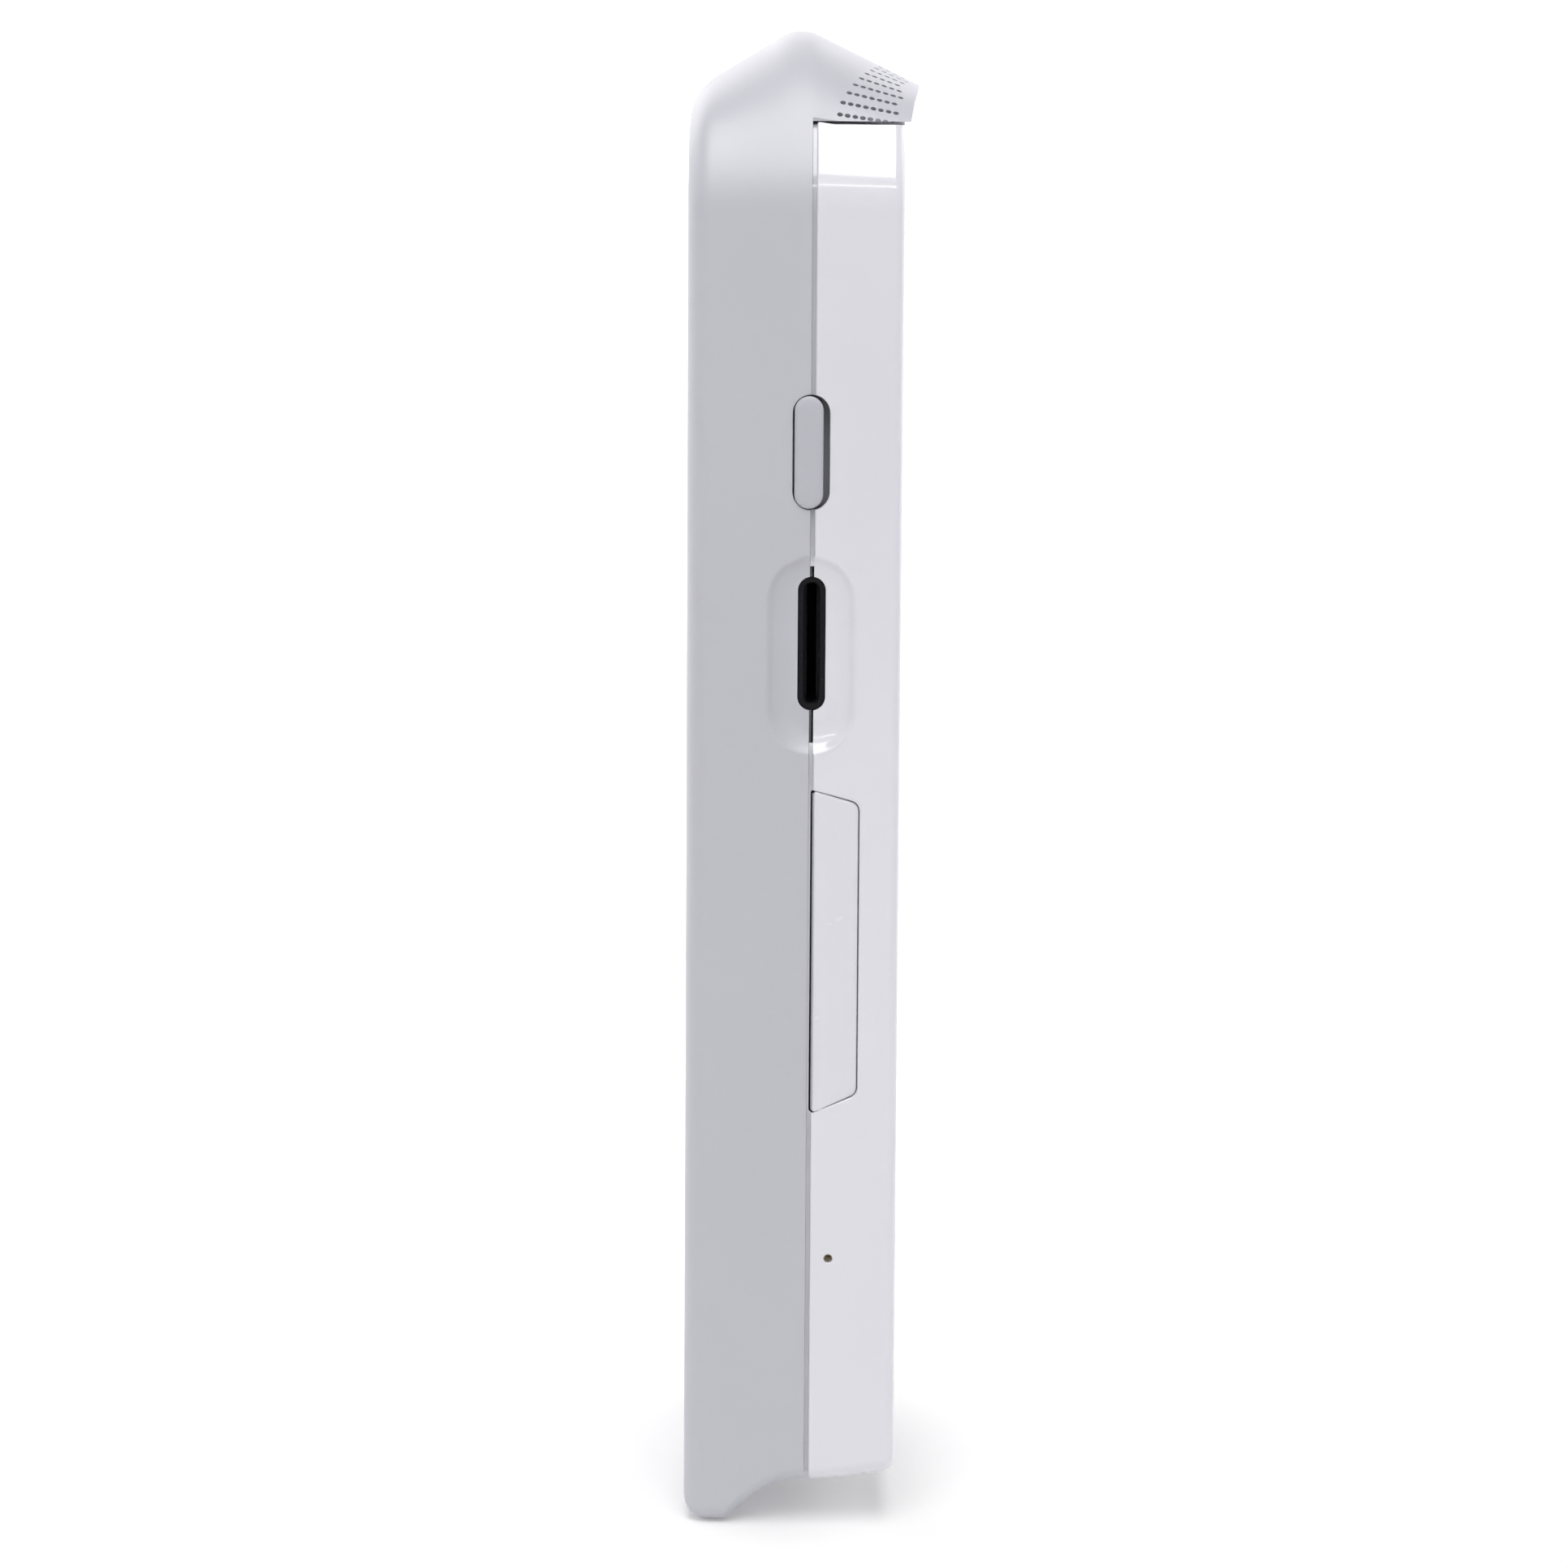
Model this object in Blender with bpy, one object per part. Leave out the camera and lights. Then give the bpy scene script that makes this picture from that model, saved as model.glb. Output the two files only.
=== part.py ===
"""A wall-hung video doorbell, as an assembly of separate pieces.

Lengths are given in millimetres as (x, t, z): x across the width, t out from the
wall and z up from the foot. to_world turns them into metres, with the front facing
-Y and the origin on the back face of the wall bracket, at half height.
"""

import math

import bmesh
import bpy

# ---- driving dimensions (mm) ----
HALF_WIDTH = 24.0
HEIGHT = 141.0
DEPTH = 20.0
PARTING = 11.65         # depth of the joint between the two shells
PART_GAP = 0.4          # groove left open along that joint
DRAFT = 0.03            # narrowing of the sides for each mm away from the joint
SPRING = 124.0          # height where the straight sides turn into the arched top
CROWN = HEIGHT - SPRING
CREST_REAR, CREST_FRONT = 9.3, 11.4     # the arched top is highest between these depths
REAR_FALL, FRONT_FALL = 0.61, 0.49      # slope of the top behind and in front of the crest
REAR_RADIUS = 2.2
FRONT_RADIUS = 1.0
FOOT_RADIUS = 1.5
WALL = 2.4
RIM = 1.05              # what is left of the rear wall in front of the gasket's step
GAP = 0.3
MM = 0.001

# ---- the arched canopy over the speaker ----
CANOPY_HALF = 20.8
CANOPY_THICK = 1.6
CANOPY_LIP = (20.35, 1.35)              # reach at its sides, and how much more in the middle

# ---- places of the features on the side and the front ----
KEY = (11.5, 101.8)                     # (t, z) of the power key
KEY_OPENING = (3.4, 10.6)
SLOT = (11.65, 84.0)                    # memory card slot
SLOT_OPENING = (2.7, 12.4)
SCOOP = (11.6, 83.0)
SCOOP_SIZE = (8.4, 18.5)
COVER_Z = (39.7, 70.35)
COVER_REACH = 16.15
HINGE = (-23.2, 12.55)                  # (x, t) of the port cover's axis
PORT = (13.9, 55.0)
PINHOLE = (13.6, 25.75)
CAMERA_Z, PIR_Z, BUTTON_Z, MIC_Z = 107.0, 79.0, 36.0, 57.5
BOARD = (13.0, 13.8)
LIFT = 6.0                              # how far the unit lifts off its bracket hooks


def to_world(x, t, z):
    return (x * MM, -t * MM, (z - HEIGHT / 2) * MM)


def clear_scene():
    for old in list(bpy.data.objects):
        bpy.data.objects.remove(old, do_unlink=True)


def finish(name, colour, roughness, metallic=0.0):
    material = bpy.data.materials.new(name)
    material.use_nodes = True
    shader = material.node_tree.nodes["Principled BSDF"]
    shader.inputs["Base Color"].default_value = (*colour, 1.0)
    shader.inputs["Roughness"].default_value = roughness
    shader.inputs["Metallic"].default_value = metallic
    return material


# ---- building solids from rings of points ----


def loft(name, rings, material=None, closed=False):
    """A solid skinned over rings of (x, t, z) points. A closed one is a loop of rings, so it has a hole."""
    mesh = bmesh.new()
    loops = [[mesh.verts.new(to_world(*point)) for point in ring] for ring in rings]
    pairs = list(zip(loops, loops[1:])) + ([(loops[-1], loops[0])] if closed else [])
    for low, high in pairs:
        for i in range(len(low)):
            j = (i + 1) % len(low)
            mesh.faces.new((low[i], low[j], high[j], high[i]))
    if not closed:
        mesh.faces.new(loops[0])
        mesh.faces.new(loops[-1])
    bmesh.ops.recalc_face_normals(mesh, faces=mesh.faces)
    data = bpy.data.meshes.new(name)
    mesh.to_mesh(data)
    mesh.free()
    data.shade_smooth()
    data.set_sharp_from_angle(angle=math.radians(35))
    obj = bpy.data.objects.new(name, data)
    bpy.context.scene.collection.objects.link(obj)
    if material:
        data.materials.append(material)
    else:
        obj.hide_render = True
        obj.display_type = "WIRE"
    return obj


def along(axis, depth, flat):
    """Puts a flat outline at a depth along an axis.

    Outlines are (t, z) along x, (x, z) along t and (x, t) along z.
    """
    if axis == "x":
        return [(depth, a, b) for a, b in flat]
    if axis == "t":
        return [(a, depth, b) for a, b in flat]
    return [(a, b, depth) for a, b in flat]


def stack(name, axis, layers, material=None, closed=False):
    return loft(name, [along(axis, d, flat) for d, flat in layers], material, closed)


def prism(name, axis, flat, low, high, material=None):
    return stack(name, axis, [(low, flat), (high, flat)], material)


def ring(name, axis, outer, inner, low, high, material=None):
    layers = [(low, outer), (high, outer), (high, inner), (low, inner)]
    return stack(name, axis, layers, material, closed=True)


def circle(centre, radius, sides=24):
    turn = [2 * math.pi * i / sides for i in range(sides)]
    return [(centre[0] + radius * math.cos(a), centre[1] + radius * math.sin(a)) for a in turn]


def rectangle(centre, size):
    (a, b), (w, h) = centre, (size[0] / 2, size[1] / 2)
    return [(a - w, b - h), (a + w, b - h), (a + w, b + h), (a - w, b + h)]


def rounded(corners, radius, steps=4):
    """A polygon with every corner rounded. The corners run anticlockwise and each turns left."""
    points = []
    for i, (a, b) in enumerate(corners):
        before, after = corners[i - 1], corners[(i + 1) % len(corners)]
        lead = math.atan2(b - before[1], a - before[0])
        turn = (math.atan2(after[1] - b, after[0] - a) - lead) % (2 * math.pi)
        back = radius * math.tan(turn / 2)
        start = (a - back * math.cos(lead), b - back * math.sin(lead))
        hub = (start[0] - radius * math.sin(lead), start[1] + radius * math.cos(lead))
        for k in range(steps + 1):
            angle = lead - math.pi / 2 + turn * k / steps
            points.append((hub[0] + radius * math.cos(angle), hub[1] + radius * math.sin(angle)))
    return points


def stadium(centre, size, steps=6):
    """A slot shape: size is its whole width and height, and the shorter one sets the round ends."""
    radius = min(size) / 2
    a, b = max(size[0] / 2 - radius, 0.0), max(size[1] / 2 - radius, 0.0)
    points = []
    for k in range(4 * steps):
        angle = 2 * math.pi * (k + 0.5) / (4 * steps)
        side, rise = math.copysign(a, math.cos(angle)), math.copysign(b, math.sin(angle))
        points.append(
            (centre[0] + side + radius * math.cos(angle), centre[1] + rise + radius * math.sin(angle))
        )
    return points


def combine(obj, operation, others):
    for other in others:
        modifier = obj.modifiers.new(f"{operation.lower()}_{other.name}", "BOOLEAN")
        modifier.operation = operation
        modifier.object = other
    return obj


def cut(obj, *cutters):
    return combine(obj, "DIFFERENCE", cutters)


def join(obj, *parts):
    return combine(obj, "UNION", parts)


# ---- the outer form, shared by both shells ----


def half_width(t):
    return HALF_WIDTH - DRAFT * abs(t - PARTING)


def fall(t):
    """How far the middle of the top is below the crest at a depth."""
    return REAR_FALL * max(CREST_REAR - t, 0) + FRONT_FALL * max(t - CREST_FRONT, 0)


def top(x, t):
    flat = 1 - (x / half_width(t)) ** 2
    return SPRING + CROWN * math.sqrt(flat) - fall(t) * flat


def foot(t):
    """The underside: a foot against the wall, a hollow curve up to the joint, then a slow rise."""
    low, high, rise = 3.9, 10.3, 3.9
    if t <= low:
        return 0.0
    if t <= high:
        return rise * math.sin(math.pi / 2 * (t - low) / (high - low))
    return rise + 0.06 * (t - high) + 0.07 * max(t - 14.8, 0)


def outline(t, shrink, crown_shrink=None, arch_steps=22):
    """The body's outline at a depth, drawn in by shrink, as (x, z)."""
    across = half_width(t) - shrink
    crown = CROWN - (shrink if crown_shrink is None else crown_shrink)
    points = []
    for k in range(arch_steps + 1):
        angle = math.pi * k / arch_steps
        rise = math.sin(angle)
        points.append((across * math.cos(angle), SPRING + crown * rise - fall(t) * rise * rise))
    radius, low = max(FOOT_RADIUS - shrink, 0.4), foot(t) + shrink
    for hub, start in ((-across + radius, math.pi), (across - radius, 1.5 * math.pi)):
        for k in range(4):
            angle = start + math.pi / 2 * k / 3
            points.append((hub + radius * math.cos(angle), low + radius + radius * math.sin(angle)))
    return points


def rounding(radius, steps=4):
    """(depth, shrink) pairs round a quarter circle, from the flat face to the side."""
    turn = [math.pi / 2 * k / steps for k in range(steps + 1)]
    return [(radius * (1 - math.cos(a)), radius * (1 - math.sin(a))) for a in turn]


def canopy_reach(x):
    return CANOPY_LIP[0] + CANOPY_LIP[1] * (1 - (x / CANOPY_HALF) ** 2)


def arched_rings(across, depths, over, under):
    """Rings front to back, one for each x. Each row of depths has its own rise over the outer surface."""
    rings = []
    for i, x in enumerate(across):
        upper = [(x, row[i], top(x, row[i]) + over + rise) for row, rise in depths]
        lower = [(x, row[i], top(x, row[i]) - under) for row, rise in depths]
        rings.append(upper + lower[::-1])
    return rings


def canopy_block(name, half, starts, over, under, beyond=0.0, steps=14):
    """An arched block along the top, out to the lip.

    Each start is a depth, and how far the block dips there.
    """
    across = [half * math.sin(math.pi * (k / steps - 0.5)) for k in range(steps + 1)]
    depths = [([t] * len(across), -dip) for t, dip in starts]
    rear = starts[-1][0]
    for part in (0.35, 0.7, 1.0):
        depths.append(([rear + part * (canopy_reach(x) + beyond - rear) for x in across], 0.0))
    return loft(name, arched_rings(across, depths, over, under))


# ---- the shells ----

POST_RADIUS = 2.4
SHELL_SCREWS = [(-17.5, 117.5), (17.5, 117.5), (-17.5, 9.5), (17.5, 9.5)]
BOARD_SCREWS = [(-12.5, 18.0), (15.5, 19.0), (-15.5, 94.0), (15.5, 94.0)]
FASCIA = ((0.0, 93.0), (30.0, 58.0))
BRACKET_Z = (20.0, 116.0)
BRACKET_HALF = 17.6
HOOK_Z = (44.0, 88.0)
HOOK_SIZE = (1.5, 6.0)                  # how far a hook stands out sideways, and its height
GRILLE = (19.6, 13.4, 4.4)              # half width, rear edge at its sides, and how far that bows forward


def grille_rings(shy, over, under, steps=12):
    """The perforated field in the canopy: an arched plate whose rear edge bows forward in the middle."""
    half, rear, bow = GRILLE
    across = [(half - shy) * (2 * k / steps - 1) for k in range(steps + 1)]
    start = [rear + shy + bow * (1 - (x / half) ** 2) for x in across]
    end = [canopy_reach(x) - 1.0 - shy for x in across]
    return arched_rings(across, [(start, 0.0), (end, 0.0)], over, under)


def side_cutters():
    """What the key, the card slot and its finger scoop take out of the -X side, across the joint."""
    key = prism("cut_key", "x", stadium(KEY, KEY_OPENING), -26, -20.9)
    slot = prism("cut_slot", "x", stadium(SLOT, SLOT_OPENING), -26, -20.9)
    bowl = [(1.2, -0.5), (0.0, -0.12), (-0.12, 0.12), (-0.5, 0.5), (-1.1, 0.82), (-2.4, 1.0)]
    layers = [
        (-HALF_WIDTH + sink, stadium(SCOOP, (SCOOP_SIZE[0] + 2 * grow, SCOOP_SIZE[1] + 2 * grow), 8))
        for grow, sink in bowl
    ]
    return [key, slot, stack("cut_scoop", "x", layers)]


def make_rear_shell(material, side):
    rear = [(t, outline(t, s)) for t, s in rounding(REAR_RADIUS)]
    edge = PARTING - PART_GAP / 2
    body = [(t, outline(t, 0)) for t in (3.9, 5.5, 7.4, CREST_REAR, 10.4, edge)]
    rim = [(t, outline(t, RIM)) for t in (edge, edge - 1)]
    inside = [(t, outline(t, WALL)) for t in (edge - 1, CREST_REAR, 6.5)]
    floor = [(4.4, outline(4.4, WALL + 0.5))]
    shell = stack("rear_shell", "t", rear + body + rim + inside + floor, material)
    posts = [
        prism(f"post_{i}", "t", circle(place, POST_RADIUS, 14), 4.1, edge - 0.1)
        for i, place in enumerate(SHELL_SCREWS)
    ]
    roots = [(edge - 2.5, 0.9), (edge - 0.2, 0.15), (edge + 0.2, 0.0)]
    join(shell, canopy_block("canopy", CANOPY_HALF, roots, 0.0, CANOPY_THICK), *posts)
    low, high = BRACKET_Z[0] - LIFT - 0.5, BRACKET_Z[1] + GAP
    size = (2 * BRACKET_HALF + 0.8, high - low)
    corners = rectangle((0, (low + high) / 2), size)
    cutters = [prism("cut_bracket", "t", rounded(corners, 6.0), -1, 2.8)]
    reach = (BRACKET_HALF + HOOK_SIZE[0] + GAP) * 2
    for i, z in enumerate(HOOK_Z):
        under = rectangle((0, z + HOOK_SIZE[1] / 2 - LIFT / 2), (reach, HOOK_SIZE[1] + LIFT + 2 * GAP))
        entry = rectangle((0, z + HOOK_SIZE[1] / 2 - LIFT), (reach, HOOK_SIZE[1] + 2 * GAP))
        cutters.append(prism(f"cut_hook_{i}", "t", under, 1.1, 2.75))
        cutters.append(prism(f"cut_entry_{i}", "t", entry, -1.1, 2.7))
    for i, place in enumerate(SHELL_SCREWS):
        cutters.append(prism(f"cut_head_{i}", "t", circle(place, 2.3, 14), -1, 3.2))
        cutters.append(prism(f"cut_shank_{i}", "t", circle(place, 1.2, 10), 3, 13))
    cutters.append(loft("cut_grille", grille_rings(0.0, 1.0, 3.0)))
    return cut(shell, *cutters, *side)


def cover_outline(grow):
    """The port cover: straight along the shell joint, with slanted ends and a rounded free edge."""
    low, high = COVER_Z[0] - grow, COVER_Z[1] + grow
    near, far = 11.95 - grow, COVER_REACH + grow
    corners = [(near, low), (far, low + 1.9), (far, high - 1.25), (near, high)]
    return rounded(corners, 0.25, 1)[:2] + rounded(corners, 1.0, 4)[5:15] + rounded(corners, 0.25, 1)[6:]


def make_front_shell(material, side):
    edge = PARTING + PART_GAP / 2
    roof = WALL + 1.8
    inside = [(t, outline(t, WALL, roof)) for t in (17.8, 14.8, edge)]
    body = [(t, outline(t, 0)) for t in (edge, 14.8, DEPTH - FRONT_RADIUS)]
    front = [(DEPTH - t, outline(DEPTH - t, s)) for t, s in rounding(FRONT_RADIUS, 3)[::-1]][1:]
    shell = stack("front_shell", "t", inside + body + front, material)
    posts = [
        prism(f"stud_{i}", "t", circle(place, POST_RADIUS, 14), edge + 0.3, 18.2)
        for i, place in enumerate(SHELL_SCREWS)
    ]
    for i, place in enumerate(BOARD_SCREWS):
        posts.append(prism(f"board_stud_{i}", "t", circle(place, 2.0, 12), BOARD[1] + GAP, 18.2))
    join(shell, *posts)
    cutters = [
        canopy_block("cut_canopy", CANOPY_HALF + GAP, [(edge - 1, 0.0)], 3.0, CANOPY_THICK + GAP, 2.0),
        prism("cut_fascia", "t", stadium(*FASCIA, 8), 18.6, 21),
        prism("cut_camera", "t", circle((0, CAMERA_Z), 8.3), 17, 19),
        prism("cut_pir", "t", circle((0, PIR_Z), 8.6), 17, 19),
        prism("cut_button", "t", circle((0, BUTTON_Z), 14.9, 32), 17, 21),
        prism("cut_mic", "t", circle((0, MIC_Z), 0.6, 8), 17, 21),
        prism("cut_cover", "x", cover_outline(GAP), -26, -22.3),
        prism("cut_port", "x", stadium(PORT, (3.9, 9.6)), -24, -21),
        prism("cut_pinhole", "x", circle(PINHOLE, 0.4, 10), -26, -21),
    ]
    for i, (low, high) in enumerate(((38.2, 40.0), (70.0, 71.8))):
        cutters.append(prism(f"cut_trunnion_{i}", "z", circle(HINGE, 0.62, 10), low, high))
    for i, x in enumerate((-14.6, -11.2, 11.2, 14.6)):
        cutters.append(prism(f"cut_sound_{i}", "z", circle((x, 16.4), 1.2, 12), 126, 140))
    for i, place in enumerate(SHELL_SCREWS):
        cutters.append(prism(f"cut_stud_{i}", "t", circle(place, 1.2, 10), 11, 16.5))
    for i, place in enumerate(BOARD_SCREWS):
        cutters.append(prism(f"cut_board_stud_{i}", "t", circle(place, 1.0, 8), 14, 17.3))
    return cut(shell, *cutters, *side)


def make_seal(material):
    """The gasket in the joint: up the +X side to the canopy, and up the -X side to the card slot."""
    low, high = PARTING - 0.9, PARTING + 0.05
    seal = ring("body_seal", "t", outline(PARTING, 1.1), outline(PARTING, 2.1), low, high, material)
    under_slot = SLOT[1] - SLOT_OPENING[1] / 2 - 2.0
    left = rectangle((-20, under_slot + 40), (60, 80))
    above = rectangle((20, SPRING + 24), (60, 40))
    return cut(seal, prism("cut_seal_left", "t", left, 9, 13), prism("cut_seal_top", "t", above, 9, 13))


# ---- the front: camera, sensors and bell button ----


def make_front_parts(black, glass, white, steel, rubber, glow, lens):
    camera, pir, button = (0, CAMERA_Z), (0, PIR_Z), (0, BUTTON_Z)
    centre, size = FASCIA
    panel = stadium(centre, (size[0] - 2 * GAP, size[1] - 2 * GAP), 8)
    fascia = prism("front_fascia", "t", panel, 18.9, 20.15, black)
    cutters = [
        prism("cut_fascia_camera", "t", circle(camera, 8.3), 18, 21),
        prism("cut_fascia_pir", "t", circle(pir, 8.6), 18, 21),
        prism("cut_fascia_light", "t", circle((0, 118.6), 1.2, 10), 18, 21),
    ]
    for side, name in ((-1, "left"), (1, "right")):
        place = (side * 11.2, CAMERA_Z)
        cutters.append(prism(f"cut_led_{name}", "t", circle(place, 1.9, 12), 18, 21))
        prism(f"infrared_led_{name}", "t", circle(place, 1.6, 12), 18.95, 20.0, glow)
    cut(fascia, *cutters)
    prism("light_sensor_window", "t", circle((0, 118.6), 0.9, 10), 18.95, 20.1, glass)
    ring("lens_bezel", "t", circle(camera, 8.0), circle(camera, 6.3), 17.2, 20.4, steel)
    prism("camera_window", "t", circle(camera, 6.0), 19.4, 20.1, glass)
    ring("lens_barrel", "t", circle(camera, 5.2), circle(camera, 3.9), 16.2, 19.0, black)
    dome = [
        (17.6, circle(camera, 3.6)),
        (18.2, circle(camera, 3.5)),
        (18.7, circle(camera, 2.7)),
        (18.95, circle(camera, 1.4)),
    ]
    stack("lens_element", "t", dome, lens)
    prism("camera_module", "t", rectangle(camera, (12, 12)), BOARD[1] + GAP, 15.9, black)
    bulge = [
        (18.2, circle(pir, 8.3)),
        (19.9, circle(pir, 8.3)),
        (20.25, circle(pir, 6.8)),
        (20.4, circle(pir, 3.5)),
    ]
    stack("pir_lens", "t", bulge, white)
    prism("pir_sensor", "t", circle(pir, 4.2, 20), BOARD[1] + GAP, 17.4, steel)
    disc = [
        (16.7, circle(button, 12.9, 32)),
        (17.5, circle(button, 12.9, 32)),
        (17.5, circle(button, 12.1, 32)),
        (19.9, circle(button, 12.1, 32)),
        (20.3, circle(button, 11.6, 32)),
        (20.1, circle(button, 7.0, 32)),
    ]
    stack("bell_button", "t", disc, white)
    ring("light_ring", "t", circle(button, 14.6, 32), circle(button, 12.45, 32), 18.0, 20.2, glow)
    ring("button_seal", "t", circle(button, 16.4, 32), circle(button, 13.3, 32), 17.0, 17.5, rubber)
    switch = prism("bell_switch", "t", rectangle(button, (6.2, 6.2)), BOARD[1] + GAP, 15.6, black)
    cut(switch, prism("cut_bell_switch", "t", circle(button, 1.4, 12), 14.4, 16))
    prism("bell_switch_plunger", "t", circle(button, 1.1, 12), 15.05, 16.4, white)
    prism("microphone", "t", rectangle((0, MIC_Z), (3.8, 3.0)), BOARD[1] + GAP, 15.2, steel)
    boot = (circle((0, MIC_Z), 2.3, 16), circle((0, MIC_Z), 0.8, 16))
    ring("microphone_boot", "t", *boot, 15.5, 17.5, rubber)


# ---- the -X side: power key, card slot, port and its cover, reset switch ----


def make_side_parts(grey, white, black, steel, brass):
    stack("power_key", "x", [
        (-24.4, stadium(KEY, (2.5, 9.7))),
        (-24.2, stadium(KEY, (2.85, 10.05))),
        (-21.3, stadium(KEY, (2.85, 10.05))),
        (-21.3, stadium(KEY, (4.8, 12.0))),
        (-20.6, stadium(KEY, (4.8, 12.0))),
    ], grey)
    switch = prism("power_switch", "x", rectangle(KEY, (2.4, 7.0)), -19.6, -16.2, black)
    cut(switch, prism("cut_power_switch", "x", circle(KEY, 0.95, 10), -20, -18.3))
    prism("power_switch_plunger", "x", circle(KEY, 0.65, 10), -20.3, -18.75, white)

    frame, mouth = stadium(SLOT, (2.1, 11.8)), stadium(SLOT, (1.0, 11.2))
    ring("card_slot_bezel", "x", frame, mouth, -22.7, -20.9, black)
    socket = prism("card_socket", "x", rectangle((11.55, SLOT[1]), (2.3, 13.2)), -20.6, -7.5, steel)
    cut(socket, prism("cut_card_socket", "x", rectangle((SLOT[0], SLOT[1]), (0.9, 11.4)), -21, -8.5))

    flat = cover_outline(0.0)
    outer = [(-half_width(t), t, z) for t, z in flat]
    cover = loft("port_cover", [outer, along("x", -22.8, flat)], white)
    stubs = [(38.65, 40.4, "low"), (69.6, 71.35, "high")]
    join(cover, *[prism(f"stub_{name}", "z", circle(HINGE, 0.35, 10), a, b) for a, b, name in stubs])

    ring("port_shell", "x", stadium(PORT, (3.2, 9.0)), stadium(PORT, (2.6, 8.4)), -21.9, -15.6, steel)
    tongue = prism("port_tongue", "x", rectangle(PORT, (0.7, 6.4)), -21.2, -16.8, black)
    join(tongue, prism("tongue_base", "x", stadium(PORT, (2.0, 7.8)), -17.2, -16.0))

    reset = prism("reset_switch", "x", rectangle(PINHOLE, (2.8, 7.0)), -20.4, -16.8, black)
    cut(reset, prism("cut_reset_switch", "x", circle(PINHOLE, 0.9, 10), -21, -19.2))
    prism("reset_switch_plunger", "x", circle(PINHOLE, 0.6, 10), -21.3, -19.65, brass)


# ---- inside: board, battery, speaker, screws ----


def make_inner_parts(board_green, steel, black, silver, rubber, cone, brass):
    board = prism("main_board", "t", rectangle((0, 63.75), (38.4, 99.5)), *BOARD, board_green)
    notches = [
        prism("cut_board_port", "t", rectangle((-18, PORT[1]), (6, 10.2)), 12, 15),
        prism("cut_board_reset", "t", rectangle((-19, PINHOLE[1]), (5, 8.2)), 12, 15),
    ]
    for i, place in enumerate(BOARD_SCREWS):
        notches.append(prism(f"cut_board_hole_{i}", "t", circle(place, 1.0, 8), 12, 15))
    cut(board, *notches)
    prism("shield_can", "t", rectangle((-4.2, 92.0), (11.0, 14.0)), BOARD[1] + GAP, 15.9, silver)
    prism("wifi_module", "t", rectangle((7.2, 92.0), (9.0, 13.0)), BOARD[1] + GAP, 15.4, black)
    prism("antenna", "x", rectangle((14.0, 80.0), (3.4, 30.0)), 19.8, 20.4, brass)
    pack = rounded(rectangle((0, 44.5), (38.0, 61.0)), 2.0)
    prism("battery_pack", "t", pack, 4.7, 10.0, silver)
    lead = rectangle((11.0, 8.2), (3.0, 1.0))
    prism("battery_lead", "z", lead, 75.3, 81.6, rubber)
    prism("battery_plug", "z", rectangle((11.0, 10.9), (5.0, 3.6)), 81.9, 86.4, black)

    place = (0, 11.3)
    ring("speaker_frame", "z", circle(place, 6.3), circle(place, 5.2), 119.5, 125.0, black)
    dish = [(122.6, circle(place, 1.6)), (123.4, circle(place, 2.2)), (124.6, circle(place, 4.9)),
            (124.9, circle(place, 4.9)), (124.0, circle(place, 2.0)), (123.9, circle(place, 0.6))]
    stack("speaker_cone", "z", dish, cone)
    prism("speaker_magnet", "z", circle(place, 4.8), 118.6, 122.2, steel)

    for i, (x, z) in enumerate(SHELL_SCREWS):
        shape = [(1.5, circle((x, z), 1.3, 12)), (1.8, circle((x, z), 1.9, 12)),
                 (2.9, circle((x, z), 1.9, 12)),
                 (2.9, circle((x, z), 0.9, 12)), (16.0, circle((x, z), 0.9, 12))]
        stack(f"case_screw_{i + 1}", "t", shape, steel)
    for i, (x, z) in enumerate(BOARD_SCREWS):
        shape = [(11.7, circle((x, z), 1.6, 10)), (12.7, circle((x, z), 1.6, 10)),
                 (12.7, circle((x, z), 0.7, 10)), (17.0, circle((x, z), 0.7, 10))]
        stack(f"board_screw_{i + 1}", "t", shape, steel)


def make_bracket(material):
    middle, size = sum(BRACKET_Z) / 2, (2 * BRACKET_HALF, BRACKET_Z[1] - BRACKET_Z[0])
    plate = prism("wall_bracket", "t", rounded(rectangle((0, middle), size), 6.0), 0, 2.4, material)
    reach = 2 * (BRACKET_HALF + HOOK_SIZE[0])
    hooks = []
    for i, z in enumerate(HOOK_Z):
        flat = rectangle((0, z + HOOK_SIZE[1] / 2), (reach, HOOK_SIZE[1]))
        hooks.append(prism(f"hook_{i}", "t", flat, 1.45, 2.35))
    join(plate, *hooks)
    cutters = []
    for i, z in enumerate((32.0, 104.0)):
        place = (0, z)
        hole = [(-1, circle(place, 2.1, 16)), (0.9, circle(place, 2.1, 16)), (3.2, circle(place, 4.4, 16))]
        cutters.append(stack(f"cut_wall_hole_{i}", "t", hole))
    return cut(plate, *cutters)


clear_scene()
grey_plastic = finish("shell_grey", (0.50, 0.50, 0.55), 0.55)
white_plastic = finish("shell_white", (0.75, 0.75, 0.80), 0.20)
black_plastic = finish("black_plastic", (0.02, 0.02, 0.022), 0.35)
clear_glass = finish("window_glass", (0.02, 0.02, 0.03), 0.03)
lens_glass = finish("lens_glass", (0.05, 0.03, 0.09), 0.03)
steel_metal = finish("steel", (0.55, 0.55, 0.56), 0.35, 1.0)
silver_foil = finish("silver_foil", (0.62, 0.63, 0.65), 0.40, 1.0)
brass_metal = finish("brass", (0.70, 0.52, 0.22), 0.35, 1.0)
dark_rubber = finish("seal_rubber", (0.03, 0.03, 0.03), 0.80)
light_guide = finish("light_guide", (0.80, 0.84, 0.90), 0.30)
board_resin = finish("board_resin", (0.02, 0.13, 0.07), 0.45)
paper_cone = finish("speaker_paper", (0.06, 0.06, 0.06), 0.85)

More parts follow.
